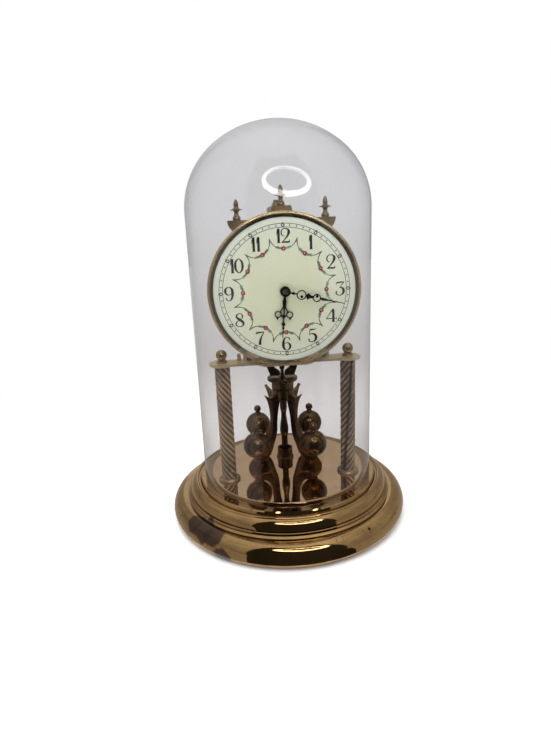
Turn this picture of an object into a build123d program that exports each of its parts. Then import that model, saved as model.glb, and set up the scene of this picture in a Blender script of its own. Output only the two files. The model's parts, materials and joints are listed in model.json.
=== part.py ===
from build123d import *
import os
from math import asin, atan2, cos, degrees, hypot, radians, sin, sqrt

# Torsion-pendulum clock under a glass dome. Millimetres, +Z up, front towards -Y,
# origin at the centre of the base's underside.

os.makedirs("parts", exist_ok=True)

# ---------------------------------------------------------------- driving dimensions
# Glass dome
dome_margin = 0.45
glass_wall = 1.7
dome_straight = 159.7
shoulder_out = 7.6
crown_lift = 2.7
foot_rounding = 0.5

# Spun base: the rim stands out from the dome by the apron
base_apron = 21.2
foot_tuck = 3.4
roll_height = 7.5
roll_rise = 13.8
step_width = 9.4
step_drop = 1.0
crease_rise = 3.0
crease_width = 1.3
crease_depth = 0.5
band_rise = 5.7
band_bulge = 0.75
bead_height = 0.9
bead_width = 1.9
bead_stand_off = 5.6
groove_width = 1.0
seat_rise = 2.3
seat_margin = 2.3
shell_wall = 1.2

# Inside the base
stiffener_radius = 46.0
stiffener_thickness = 3.0
floor_thickness = 1.6
floor_edge_gap = 2.5
floor_edge_radius = 0.6

# Rope-twist columns with their tie rods
column_height = 73.2
column_spacing = 74.0
column_y = -14.3
column_crest = 4.5
column_valley = 3.5
column_bore = 2.0
column_strands = 8
column_lead = 32.0
collar_radius = 6.6
collar_height = 2.0
rod_radius = 1.5
rod_clearance = 0.1
nut_flats = 5.5
nut_height = 2.4
washer_radius = 3.5
washer_thickness = 0.5
ball_radius = 3.2
ball_stem = 4.5
ball_collar_height = 1.2
ball_neck_radius = 2.2

# Platform
platform_thickness = 1.4
arm_width = 10.7
end_radius = 7.3
deck_half_width = 16.0
deck_bezel_gap = 0.2
deck_back = 18.0
deck_corner = 5.5
throat_radius = 5.5
lug_height = 3.6
lug_width = 2.2
lug_from_column = 9.0

# Movement frame
plate_front = -22.5
plate_thickness = 1.5
plate_gap = 21.5
plate_half_width = 24.5
plate_foot_half_width = 14.0
plate_foot_height = 1.0
plate_shoulder = 61.0
plate_neck_half_width = 5.8
plate_neck_height = 83.2
pillar_radius = 2.0
lower_pillar_x = 21.0
lower_pillar_rise = 3.8
upper_pillar_x = 19.5
upper_pillar_rise = 59.0
screw_radius = 0.9
screw_head_radius = 1.6
screw_head_height = 1.0
screw_slot = 0.4
screw_clearance = 0.05
small_screw_radius = 0.7
small_head_radius = 1.2
small_head_height = 0.8

# Train: modules, teeth and pivots
barrel_module = 0.5
fine_module = 0.3
upper_module = 0.4
motion_module = 0.5
barrel_teeth = 72
second_teeth = 60
third_teeth = 56
centre_teeth = 40
fourth_teeth = 32
pinion_leaves = 8
cannon_leaves = 10
minute_wheel_teeth = 30
hour_wheel_teeth = 32
stud_radius = 0.8
escape_teeth = 15
escape_radius = 6.2
wheel_thickness = 0.8
arbor_radius = 0.75
pivot_radius = 0.45
pivot_clearance = 0.05
end_shake = 0.25
fit = 0.02

# Dial and hands
dial_rise = 41.4
dial_edge_gap = 0.2
dial_rim_width = 4.0
dial_rim_drop = 0.9
dial_thickness = 0.6
dial_stand_off = 4.7
dial_hole_radius = 2.6
dial_foot_circle = 24.0
dial_foot_radius = 0.8
bezel_radius = 41.8
bezel_face = 3.2
bezel_wall = 0.9
bezel_lip = 1.2
bezel_depth = 4.6
bezel_rounding = 1.1
bezel_rim = 1.8
bezel_lip_set = 0.1
hand_thickness = 0.4
hand_gap = 0.9
hub_radius = 2.8
hour_hand_length = 25.5
hour_hand_angle = 185.0
minute_hand_length = 33.1
minute_hand_angle = 103.8

# Finials, their wing brackets and the suspension bridge
finial_height = 10.7
finial_x = 23.7
finial_gap = 0.4
finial_skirt_radius = 3.3
finial_foot_radius = 1.9
finial_stud_length = 2.0
bracket_top = 79.2
bracket_tip_x = 28.8
bracket_inner_x = 14.0
bracket_thickness = 1.5
bracket_shelf = 1.0
bracket_depth = 5.0
bracket_height = 16.8
bracket_inner_height = 8.7
bridge_thickness = 2.6
bridge_chamfer = 0.8
bridge_nose = 1.2
bridge_flange = 1.2
bridge_flange_height = 7.4
bridge_screw_x = 3.9
bridge_screw_drop = 5.0
cock_screw_x = 7.0
bridge_tail_half_width = 4.4
bridge_tail_length = 4.2
saddle_half_width = 2.2
saddle_depth = 7.6
saddle_height = 2.6

# Suspension and its guard
suspension_set_back = 9.8
spring_width = 0.5
spring_thickness = 0.1
top_block_half_width = 1.5
top_block_depth = 1.6
top_block_drop = 1.6
top_block_rise = 1.8
guard_half_width = 10.4
guard_foot_half_width = 7.7
guard_drop = 15.9
guard_taper_drop = 7.6
guard_thickness = 2.4
guard_window_half_width = 5.0
guard_slot_half_width = 1.5
guard_slot_height = 2.7
guard_flange = 5.0

# Rotating pendulum
disc_radius = 9.65
disc_thickness = 2.0
hub_block_radius = 7.1
hub_block_height = 5.5
drum_radius = 7.0
drum_height = 7.3
arm_thickness = 2.4
arm_foot_depth = 3.5
arm_ball_gap = 1.25
pad_half = 2.4
horn_reach = 9.5
horn_rise = 3.4
pendulum_rest_angle = 41.0
pendulum_ball_radius = 8.4
pendulum_ball_circle = 25.15
pendulum_ball_height = 16.9
ball_seat_gap = 0.05
ball_stud_radius = 0.7
cup_radius = 4.95
cup_bore = 4.15
cup_height = 6.9
cup_flange_radius = 5.6
guide_pin_radius = 1.2

# ---------------------------------------------------------------- levels and places
plate_front_inside = plate_front + plate_thickness
plate_back_inside = plate_front_inside + plate_gap
plate_back = plate_back_inside + plate_thickness
dial_back = plate_front - dial_stand_off
dial_front = dial_back - dial_thickness
dial_radius = bezel_radius - bezel_wall - dial_edge_gap
bezel_opening = bezel_radius - bezel_face
bezel_front = dial_front - bezel_lip
bezel_back = bezel_front + bezel_depth

deck_front = bezel_back + deck_bezel_gap
bezel_reach = hypot(bezel_radius - bezel_rounding, bezel_front + bezel_rounding) + bezel_rounding
dome_radius = bezel_reach + dome_margin + glass_wall
base_radius = dome_radius + base_apron
crease_top = roll_rise + crease_rise
band_top = crease_top + band_rise
seat_z = band_top + seat_rise
floor_z = seat_z + floor_thickness
platform_z = floor_z + column_height
deck_z = platform_z + platform_thickness
column_x = column_spacing / 2

suspension_y = plate_back + suspension_set_back
dial_z = deck_z + dial_rise
bridge_z = deck_z + plate_neck_height
bridge_top = bridge_z + bridge_thickness


# ---------------------------------------------------------------- helpers
def facing(y, x=0.0, z=0.0, turn=0.0):
    """Upright plane at depth y: local x to the right, local y up, extrusion to the front."""
    across = (cos(radians(turn)), 0, sin(radians(turn)))
    return Plane(origin=(x, y, z), x_dir=across, z_dir=(0, -1, 0))


def polar(radius, angle):
    """Point of an upright plane, its angle counted from the right and upwards."""
    return radius * cos(radians(angle)), radius * sin(radians(angle))


def post(x, y, bottom, top, radius, mode=Mode.ADD):
    """Upright round piece or hole of the part being built."""
    with BuildSketch(Plane.XY.offset(bottom)) as section:
        with Locations((x, y)):
            Circle(radius)
    extrude(section.sketch, amount=top - bottom, mode=mode)


def spindle(x, z, back, front, radius, mode=Mode.ADD):
    """Round piece or hole along the depth of the part being built."""
    with BuildSketch(facing(back, x, z)) as section:
        Circle(radius)
    extrude(section.sketch, amount=back - front, mode=mode)


def turned(points, x=0.0, y=0.0):
    """Upright turned piece from (radius, height) points, closed on its own axis."""
    with BuildSketch(facing(y, x)) as profile:
        Polygon(*points, align=None)
    revolve(profile.sketch, axis=Axis((x, y, 0), (0, 0, 1)))


def save(part, name):
    """Label a finished piece and write it to its own file."""
    part.label = name
    export_step(part, f"parts/{name}.step")


# ---------------------------------------------------------------- gear cutting
wheel_addendum = 1.0
leaf_addendum = 0.8
dedendum = 1.5
wheel_flank = (0.25, 0.21, 0.08)
leaf_flank = (0.16, 0.18, 0.08)


def toothed(teeth, module, addendum, flank, first_tooth):
    """Outline of a wheel in the sketch being built; first_tooth is the angle of one tooth."""
    pitch = teeth * module / 2
    levels = (pitch - dedendum * module, pitch, pitch + addendum * module)
    rising = [(-share, level) for share, level in zip(flank, levels)]
    falling = [(share, level) for share, level in reversed(list(zip(flank, levels)))]
    step = 360 / teeth
    points = [
        polar(level, first_tooth + (tooth + share) * step)
        for tooth in range(teeth)
        for share, level in rising + falling
    ]
    Polygon(*points, align=None)


def crossings(inner, outer, arm, count, start=0.0):
    """Windows between straight spokes, cut from the wheel in the sketch being built."""
    span = 360 / count
    for spoke in range(count):
        inner_inset = degrees(asin(arm / 2 / inner))
        outer_inset = degrees(asin(arm / 2 / outer))
        angle = start + spoke * span
        with BuildLine() as window:
            rim = CenterArc((0, 0), outer, angle + outer_inset, span - 2 * outer_inset)
            boss = CenterArc((0, 0), inner, angle + inner_inset, span - 2 * inner_inset)
            Line(rim @ 0, boss @ 0)
            Line(rim @ 1, boss @ 1)
        make_face(window.edges(), mode=Mode.SUBTRACT)


def wheel(centre, back, teeth, module, first_tooth, bore, spokes=4):
    """Crossed-out wheel of the train, wheel_thickness thick, on the part being built."""
    root = teeth * module / 2 - dedendum * module
    with BuildSketch(facing(back, *centre)) as section:
        toothed(teeth, module, wheel_addendum, wheel_flank, first_tooth)
        if spokes:
            crossings(bore + 1.2, root - 0.8, 0.9, spokes, first_tooth)
        Circle(bore, mode=Mode.SUBTRACT)
    extrude(section.sketch, amount=wheel_thickness)


def pinion(centre, back, front, leaves, module, first_gap, bore=0.0):
    """Leaves of a pinion on the part being built; first_gap is the angle of one gap."""
    with BuildSketch(facing(back, *centre)) as section:
        toothed(leaves, module, leaf_addendum, leaf_flank, first_gap + 180 / leaves)
        if bore:
            Circle(bore, mode=Mode.SUBTRACT)
    extrude(section.sketch, amount=back - front)


def arbor(centre):
    """Plain arbor between the plates with a pivot in each of them."""
    shoulder_back = plate_back_inside - end_shake
    shoulder_front = plate_front_inside + end_shake
    spindle(*centre, shoulder_back, shoulder_front, arbor_radius)
    spindle(*centre, plate_back, plate_front, pivot_radius)


def stepped(start, distance, angle):
    """Centre of the next arbor, seen from the front."""
    shift = polar(distance, angle)
    return start[0] + shift[0], start[1] + shift[1]


def mesh_distance(first, second, module):
    return (first + second) * module / 2


# Arbor centres, chained from the centre arbor by the meshing distances
third_angle = -12.0
second_angle = -79.0
barrel_angle = 210.0
fourth_angle = 71.6
motion_angle = -35.0
centre_at = (0.0, dial_z)
third_at = stepped(centre_at, mesh_distance(third_teeth, pinion_leaves, fine_module), third_angle)
second_at = stepped(third_at, mesh_distance(second_teeth, pinion_leaves, fine_module), second_angle)
barrel_at = stepped(
    second_at, mesh_distance(barrel_teeth, pinion_leaves, barrel_module), barrel_angle
)
fourth_at = stepped(
    centre_at, mesh_distance(centre_teeth, pinion_leaves, upper_module), fourth_angle
)
escape_rise = sqrt(mesh_distance(fourth_teeth, pinion_leaves, upper_module) ** 2 - fourth_at[0] ** 2)
escape_at = (0.0, fourth_at[1] + escape_rise)
escape_angle = degrees(atan2(escape_rise, -fourth_at[0]))
anchor_rise = 9.1
anchor_at = (0.0, escape_at[1] + anchor_rise)
motion_at = stepped(
    centre_at, mesh_distance(minute_wheel_teeth, cannon_leaves, motion_module), motion_angle
)

hand_arbor_radius = arbor_radius + 0.15
cannon_bore = hand_arbor_radius + pivot_clearance

# Depths of the wheels' back faces, counted from the inside of the front plate
second_layer = plate_front_inside + 3.4
centre_layer = plate_front_inside + 5.6
fourth_layer = plate_front_inside + 11.8
escape_layer = plate_front_inside + 16.8
barrel_layer = plate_front_inside + 18.0
third_layer = plate_front_inside + 19.8
minute_layer = plate_front - 0.7
hour_layer = minute_layer - 1.6

# ---------------------------------------------------------------- glass dome
dome_foot = seat_z + 0.05
dome_spring = seat_z + dome_straight
dome_inside = dome_radius - glass_wall
dome_shoulder = dome_radius - shoulder_out
dome_crown = dome_shoulder + crown_lift
crown_drop = (shoulder_out**2 - crown_lift**2) / (2 * crown_lift)
crown_radius = dome_crown + crown_drop
shoulder_angle = degrees(atan2(crown_drop, shoulder_out))


def dome_line(wall):
    """Half of the dome's section, its wall moved inwards: straight side, shoulder and crown."""
    Line((dome_radius - wall, dome_foot), (dome_radius - wall, dome_spring))
    CenterArc((shoulder_out, dome_spring), dome_shoulder - wall, 0, shoulder_angle)
    CenterArc(
        (0, dome_spring - crown_drop), crown_radius - wall, shoulder_angle, 90 - shoulder_angle
    )


with BuildPart() as glass_dome:
    with BuildSketch(Plane.XZ):
        with BuildLine():
            dome_line(0)
            dome_line(glass_wall)
            Line((dome_inside, dome_foot), (dome_radius, dome_foot))
            dome_top = dome_spring + dome_crown
            Line((0, dome_top), (0, dome_top - glass_wall))
        make_face()
    revolve(axis=Axis.Z)
    fillet(glass_dome.edges().group_by(Axis.Z)[0], foot_rounding)
save(glass_dome.part, "glass_dome")

# ---------------------------------------------------------------- base
foot_radius = base_radius - foot_tuck
step_radius = base_radius - step_width
crease_radius = step_radius - crease_width
bead_radius = dome_radius + bead_stand_off
bead_outer = bead_radius + bead_width / 2
bead_inner = bead_radius - bead_width / 2
seat_radius = dome_radius + seat_margin
band_foot = crease_radius - crease_depth
tie_points = [(-column_x, column_y), (column_x, column_y)]
cup_point = (0.0, suspension_y)

with BuildPart() as base_shell:
    with BuildSketch(Plane.XZ):
        with BuildLine():
            Line((0, 0), (foot_radius, 0))
            ThreePointArc((foot_radius, 0), (base_radius, roll_height), (step_radius, roll_rise))
            Polyline(
                (step_radius, roll_rise),
                (step_radius - step_drop, roll_rise + 0.2 * crease_rise),
                (crease_radius - crease_depth, roll_rise + 0.35 * crease_rise),
                (crease_radius, roll_rise + 0.5 * crease_rise),
                (crease_radius - crease_depth / 2, roll_rise + 0.7 * crease_rise),
                (band_foot - crease_depth, roll_rise + 0.85 * crease_rise),
                (band_foot, crease_top),
            )
            band_middle = ((band_foot + bead_outer) / 2, (crease_top + band_top) / 2)
            ThreePointArc(
                (band_foot, crease_top),
                (band_middle[0] + band_bulge, band_middle[1] + band_bulge),
                (bead_outer, band_top),
            )
            ThreePointArc(
                (bead_outer, band_top), (bead_radius, band_top + bead_height), (bead_inner, band_top)
            )
            Polyline(
                (bead_inner, band_top),
                (bead_inner - groove_width, band_top),
                (seat_radius + shell_wall / 2, seat_z - shell_wall / 2),
                (seat_radius, seat_z),
                (0, seat_z),
                (0, 0),
            )
        make_face()
    revolve(axis=Axis.Z)
    with BuildSketch(Plane.XZ):
        roof = seat_z - shell_wall
        with BuildLine():
            Line((0, 0), (foot_radius - shell_wall, 0))
            ThreePointArc(
                (foot_radius - shell_wall, 0),
                (base_radius - shell_wall, roll_height),
                (step_radius - shell_wall, roll_rise - shell_wall),
            )
            Polyline(
                (step_radius - shell_wall, roll_rise - shell_wall),
                (band_foot - crease_depth - shell_wall, roll_rise),
                (band_foot - crease_depth - shell_wall, crease_top - crease_depth),
                (bead_inner - groove_width - shell_wall, band_top - shell_wall),
                (seat_radius - shell_wall, roof),
                (0, roof),
                (0, 0),
            )
        make_face()
    revolve(axis=Axis.Z, mode=Mode.SUBTRACT)
    for x, y in tie_points + [cup_point]:
        post(x, y, roof, seat_z, rod_radius + rod_clearance, Mode.SUBTRACT)
save(base_shell.part, "base_shell")

stiffener_z = roof - stiffener_thickness
with BuildPart() as base_stiffener:
    post(0, 0, stiffener_z, roof, stiffener_radius)
    for x, y in tie_points + [cup_point]:
        post(x, y, stiffener_z, roof, rod_radius + rod_clearance, Mode.SUBTRACT)
save(base_stiffener.part, "base_stiffener")

floor_radius = dome_inside - floor_edge_gap
with BuildPart() as floor_disc:
    post(0, 0, seat_z, floor_z, floor_radius)
    fillet(floor_disc.edges().group_by(Axis.Z)[-1], floor_edge_radius)
    for x, y in tie_points + [cup_point]:
        post(x, y, seat_z, floor_z, rod_radius + rod_clearance, Mode.SUBTRACT)
save(floor_disc.part, "floor_disc")

nut_z = stiffener_z - washer_thickness - nut_height
with BuildPart() as base_nuts:
    for x, y in tie_points + [cup_point]:
        with BuildSketch(Plane.XY.offset(nut_z)):
            with Locations((x, y)):
                RegularPolygon(nut_flats / 2, 6, major_radius=False)
                Circle(rod_radius + screw_clearance, mode=Mode.SUBTRACT)
        extrude(amount=nut_height)
        with BuildSketch(Plane.XY.offset(stiffener_z - washer_thickness)):
            with Locations((x, y)):
                Circle(washer_radius)
                Circle(rod_radius + rod_clearance, mode=Mode.SUBTRACT)
        extrude(amount=washer_thickness)
save(base_nuts.part, "base_nuts")

# ---------------------------------------------------------------- columns and platform
strand = 360 / column_strands
with BuildSketch() as rope_section:
    with BuildLine():
        for lobe in range(column_strands):
            ThreePointArc(
                polar(column_valley, lobe * strand),
                polar(column_crest, (lobe + 0.5) * strand),
                polar(column_valley, (lobe + 1) * strand),
            )
    make_face()


def rope_column(x, hand):
    """Rolled tube with twisted strands; hand is 1 or -1 for the sense of the twist."""
    rope = Solid.extrude_linear_with_rotation(
        rope_section.face(),
        center=(0, 0, 0),
        normal=(0, 0, column_height),
        angle=hand * 360 * column_height / column_lead,
    )
    with BuildPart() as column:
        with Locations((x, column_y, floor_z)):
            add(rope)
        post(x, column_y, floor_z, platform_z, column_bore, Mode.SUBTRACT)
    return column.part


save(rope_column(-column_x, -1), "column_left")
save(rope_column(column_x, 1), "column_right")

with BuildPart() as column_collars:
    for x, y in tie_points:
        bore = column_crest + 0.05
        turned(
            [
                (bore, floor_z),
                (collar_radius, floor_z),
                (collar_radius, floor_z + 0.45 * collar_height),
                (collar_radius - 0.5, floor_z + 0.8 * collar_height),
                (bore + 0.5, floor_z + collar_height),
                (bore, floor_z + collar_height),
            ],
            x,
            y,
        )
save(column_collars.part, "column_collars")

ball_centre = deck_z + ball_stem
rod_top = ball_centre - 1.0
with BuildPart() as tie_rods:
    for x, y in tie_points:
        post(x, y, nut_z - 1.0, rod_top, rod_radius)
save(tie_rods.part, "tie_rods")

with BuildPart() as platform:
    with BuildSketch(Plane.XY.offset(platform_z)):
        with Locations((0, column_y)):
            Rectangle(column_spacing, arm_width)
        with Locations(*tie_points):
            Circle(end_radius)
        with Locations((0, (deck_front + deck_back) / 2)):
            RectangleRounded(2 * deck_half_width, deck_back - deck_front, deck_corner)
        with Locations(*tie_points):
            Circle(rod_radius + rod_clearance, mode=Mode.SUBTRACT)
        with Locations(cup_point):
            Circle(throat_radius, mode=Mode.SUBTRACT)
    extrude(amount=platform_thickness)
    lug_x = -column_x + lug_from_column
    with BuildSketch(Plane.XY.offset(deck_z)):
        with Locations((lug_x, column_y + arm_width / 2)):
            Rectangle(lug_width, lug_width, align=(Align.MIN, Align.MAX))
    extrude(amount=lug_height)
    platform_screw_points = [(-lower_pillar_x, column_y), (lower_pillar_x, column_y)]
    guard_screw_y = suspension_y + guard_thickness / 2 + guard_flange / 2
    guard_screw_x = guard_half_width - 2.4
    for x, y in platform_screw_points:
        post(x, y, platform_z, deck_z, screw_radius + screw_clearance, Mode.SUBTRACT)
    for x in (-guard_screw_x, guard_screw_x):
        post(
            x,
            guard_screw_y,
            platform_z,
            deck_z,
            small_screw_radius + screw_clearance,
            Mode.SUBTRACT,
        )
save(platform.part, "platform")

ball_collar_radius = ball_radius - 0.1
with BuildPart() as ball_nuts:
    for x, y in tie_points:
        post(x, y, deck_z, deck_z + ball_collar_height, ball_collar_radius)
        post(x, y, deck_z, ball_centre, ball_neck_radius)
        with Locations((x, y, ball_centre)):
            Sphere(ball_radius)
        post(x, y, deck_z, rod_top + 0.2, rod_radius + 0.05, Mode.SUBTRACT)
save(ball_nuts.part, "ball_nuts")

with BuildPart() as suspension_guard:
    guard_bottom = platform_z - guard_drop
    taper_z = guard_bottom + guard_taper_drop
    window_z = guard_bottom + guard_slot_height
    with BuildSketch(facing(suspension_y + guard_thickness / 2)):
        Polygon(
            (-guard_half_width, platform_z),
            (-guard_half_width, taper_z),
            (-guard_foot_half_width, guard_bottom),
            (guard_foot_half_width, guard_bottom),
            (guard_half_width, taper_z),
            (guard_half_width, platform_z),
            align=None,
        )
        Polygon(
            (-guard_window_half_width, platform_z),
            (-guard_window_half_width, window_z + guard_slot_height),
            (-guard_slot_half_width, window_z),
            (-guard_slot_half_width, guard_bottom),
            (guard_slot_half_width, guard_bottom),
            (guard_slot_half_width, window_z),
            (guard_window_half_width, window_z + guard_slot_height),
            (guard_window_half_width, platform_z),
            align=None,
            mode=Mode.SUBTRACT,
        )
    extrude(amount=guard_thickness)
    flange_thickness = guard_thickness / 2
    with BuildSketch(Plane.XY.offset(platform_z - flange_thickness)):
        with Locations((0, suspension_y + guard_thickness / 2)):
            Rectangle(2 * guard_half_width, guard_flange, align=(Align.CENTER, Align.MIN))
        with Locations(cup_point):
            Circle(throat_radius, mode=Mode.SUBTRACT)
    extrude(amount=flange_thickness)
    for x in (-guard_screw_x, guard_screw_x):
        post(
            x,
            guard_screw_y,
            platform_z - flange_thickness,
            platform_z,
            small_screw_radius + screw_clearance,
            Mode.SUBTRACT,
        )
save(suspension_guard.part, "suspension_guard")

with BuildPart() as guide_cup:
    cup_top = floor_z + cup_height
    turned(
        [
            (0, nut_z - 1.0),
            (rod_radius, nut_z - 1.0),
            (rod_radius, floor_z),
            (cup_flange_radius, floor_z),
            (cup_flange_radius, floor_z + 0.8),
            (cup_radius, floor_z + 1.4),
            (cup_radius, cup_top),
            (cup_bore, cup_top),
            (cup_bore, floor_z + 1.2),
            (0, floor_z + 1.2),
        ],
        *cup_point,
    )
save(guide_cup.part, "guide_cup")

# ---------------------------------------------------------------- movement plates
lower_pillar_z = deck_z + lower_pillar_rise
upper_pillar_z = deck_z + upper_pillar_rise
pillar_points = [
    (-lower_pillar_x, lower_pillar_z),
    (lower_pillar_x, lower_pillar_z),
    (-upper_pillar_x, upper_pillar_z),
    (upper_pillar_x, upper_pillar_z),
]
bracket_z = deck_z + bracket_top
bracket_screw_points = [
    (bracket_inner_x + 2.2, bracket_z - bracket_inner_height - 1.0),
    (bracket_inner_x + 6.0, bracket_z - bracket_height + 1.6),
]
bracket_screw_points += [(-x, z) for x, z in bracket_screw_points]
dial_foot_points = [stepped(centre_at, dial_foot_circle, angle) for angle in (110, 215, 325)]
winding_pivot_radius = 2.3
bridge_screw_z = bridge_z - bridge_screw_drop
bridge_screw_points = [(side * bridge_screw_x, bridge_screw_z) for side in (-1, 1)]
cock_screw_points = [(side * cock_screw_x, anchor_at[1]) for side in (-1, 1)]


def plate_outline():
    """Outline shared by both plates, in the sketch being built."""
    half = [
        (plate_foot_half_width, deck_z),
        (plate_foot_half_width, deck_z + plate_foot_height),
        (plate_half_width, deck_z + plate_foot_height),
        (plate_half_width, deck_z + plate_shoulder),
        (0.62 * plate_half_width, bridge_z - 8.2),
        (plate_neck_half_width, bridge_z - 4.2),
        (plate_neck_half_width, bridge_z),
    ]
    Polygon(*half, *[(-x, z) for x, z in reversed(half)], align=None)


def plate_holes(points, radius):
    with Locations(*points):
        Circle(radius, mode=Mode.SUBTRACT)


train_points = [second_at, third_at, fourth_at, escape_at]
with BuildPart() as front_plate:
    with BuildSketch(facing(plate_front_inside)):
        plate_outline()
        plate_holes(pillar_points, screw_radius + screw_clearance)
        plate_holes(bracket_screw_points, small_screw_radius + screw_clearance)
        plate_holes(dial_foot_points, dial_foot_radius + screw_clearance)
        plate_holes(train_points + [anchor_at], pivot_radius + pivot_clearance)
        plate_holes([barrel_at], winding_pivot_radius + pivot_clearance)
        plate_holes([centre_at], cannon_bore)
    extrude(amount=plate_thickness)
    spindle(*motion_at, plate_front, minute_layer + 0.1, stud_radius + 0.7)
    spindle(*motion_at, plate_front, hour_layer - wheel_thickness - 0.6, stud_radius)
    fillet(front_plate.edges().filter_by(Axis.Y).group_by(Axis.X)[0], 1.5)
    fillet(front_plate.edges().filter_by(Axis.Y).group_by(Axis.X)[-1], 1.5)
save(front_plate.part, "front_plate")

click_at = stepped(barrel_at, 11.6, 200)
click_spring_screw_at = stepped(click_at, 9.0, 262)
anchor_window_radius = 2.0
with BuildPart() as back_plate:
    with BuildSketch(facing(plate_back)):
        plate_outline()
        plate_holes(pillar_points, screw_radius + screw_clearance)
        plate_holes(train_points, pivot_radius + pivot_clearance)
        plate_holes([centre_at], pivot_radius + pivot_clearance)
        plate_holes([barrel_at], winding_pivot_radius + pivot_clearance)
        plate_holes([anchor_at], anchor_window_radius)
        small_hole = small_screw_radius + screw_clearance
        plate_holes(bridge_screw_points + cock_screw_points, small_hole)
        plate_holes([click_at, click_spring_screw_at], small_hole)
    extrude(amount=plate_thickness)
    fillet(back_plate.edges().filter_by(Axis.Y).group_by(Axis.X)[0], 1.5)
    fillet(back_plate.edges().filter_by(Axis.Y).group_by(Axis.X)[-1], 1.5)
save(back_plate.part, "back_plate")

with BuildPart() as plate_pillars:
    for x, z in pillar_points:
        spindle(x, z, plate_back_inside, plate_front_inside, pillar_radius)
        spindle(x, z, plate_back_inside, plate_front_inside, screw_radius + 0.02, Mode.SUBTRACT)
    for x, y in platform_screw_points:
        post(x, y, deck_z, lower_pillar_z, screw_radius + 0.02, Mode.SUBTRACT)
save(plate_pillars.part, "plate_pillars")

# ---------------------------------------------------------------- wing brackets and finials
bracket_front = plate_front - bracket_thickness
finial_y = bezel_back + finial_gap + finial_skirt_radius
with BuildPart() as finial_brackets:
    for side in (-1, 1):
        with BuildSketch(facing(plate_front)):
            with BuildLine():
                Polyline(
                    (side * bracket_inner_x, bracket_z),
                    (side * bracket_tip_x, bracket_z),
                    (side * bracket_tip_x, bracket_z - 0.4),
                )
                ThreePointArc(
                    (side * bracket_tip_x, bracket_z - 0.4),
                    (side * (bracket_tip_x - 0.7), bracket_z - 3.0),
                    (side * (bracket_tip_x - 2.5), bracket_z - 5.4),
                )
                Polyline(
                    (side * (bracket_tip_x - 2.5), bracket_z - 5.4),
                    (side * (bracket_tip_x - 7.3), bracket_z - bracket_height),
                    (side * (bracket_inner_x + 4.6), bracket_z - bracket_height),
                    (side * bracket_inner_x, bracket_z - bracket_inner_height),
                    (side * bracket_inner_x, bracket_z),
                )
            make_face()
            plate_holes(bracket_screw_points, small_screw_radius + screw_clearance)
        extrude(amount=bracket_thickness)
        with BuildSketch(Plane.XY.offset(bracket_z - bracket_shelf)):
            with Locations((side * finial_x, bracket_front + bracket_depth / 2)):
                Rectangle(2 * (bracket_tip_x - finial_x) - 3.0, bracket_depth)
        extrude(amount=bracket_shelf)
        post(
            side * finial_x,
            finial_y,
            bracket_z - 3.0,
            bracket_z,
            small_screw_radius + screw_clearance,
            Mode.SUBTRACT,
        )
save(finial_brackets.part, "finial_brackets")


def finial(x, foot_z):
    """Turned finial: bulb, waist, skirt and bullet on a threaded stud."""
    unit = finial_height / 10.7
    skirt = finial_skirt_radius
    foot = finial_foot_radius
    with BuildSketch(facing(finial_y, x, foot_z)) as profile:
        with BuildLine():
            Polyline(
                (0, 0),
                (0, -finial_stud_length),
                (small_screw_radius, -finial_stud_length),
                (small_screw_radius, 0),
                (foot, 0),
            )
            ThreePointArc((foot, 0), (foot + 0.2, 1.0 * unit), (foot - 0.4, 2.1 * unit))
            Spline((foot - 0.4, 2.1 * unit), (1.15, 3.7 * unit), (1.6, 4.8 * unit))
            Polyline((1.6, 4.8 * unit), (skirt, 5.2 * unit), (skirt, 5.45 * unit))
            ThreePointArc((skirt, 5.45 * unit), (1.9, 5.9 * unit), (1.1, 6.8 * unit))
            Line((1.1, 6.8 * unit), (1.25, 7.0 * unit))
            ThreePointArc((1.25, 7.0 * unit), (1.15, 8.9 * unit), (0.35, 10.5 * unit))
            Polyline((0.35, 10.5 * unit), (0, finial_height), (0, 0))
        make_face()
    revolve(profile.sketch, axis=Axis((x, finial_y, 0), (0, 0, 1)))


with BuildPart() as finials:
    finial(-finial_x, bracket_z)
    finial(finial_x, bracket_z)
    finial(0, bridge_top)
save(finials.part, "finials")

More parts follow.
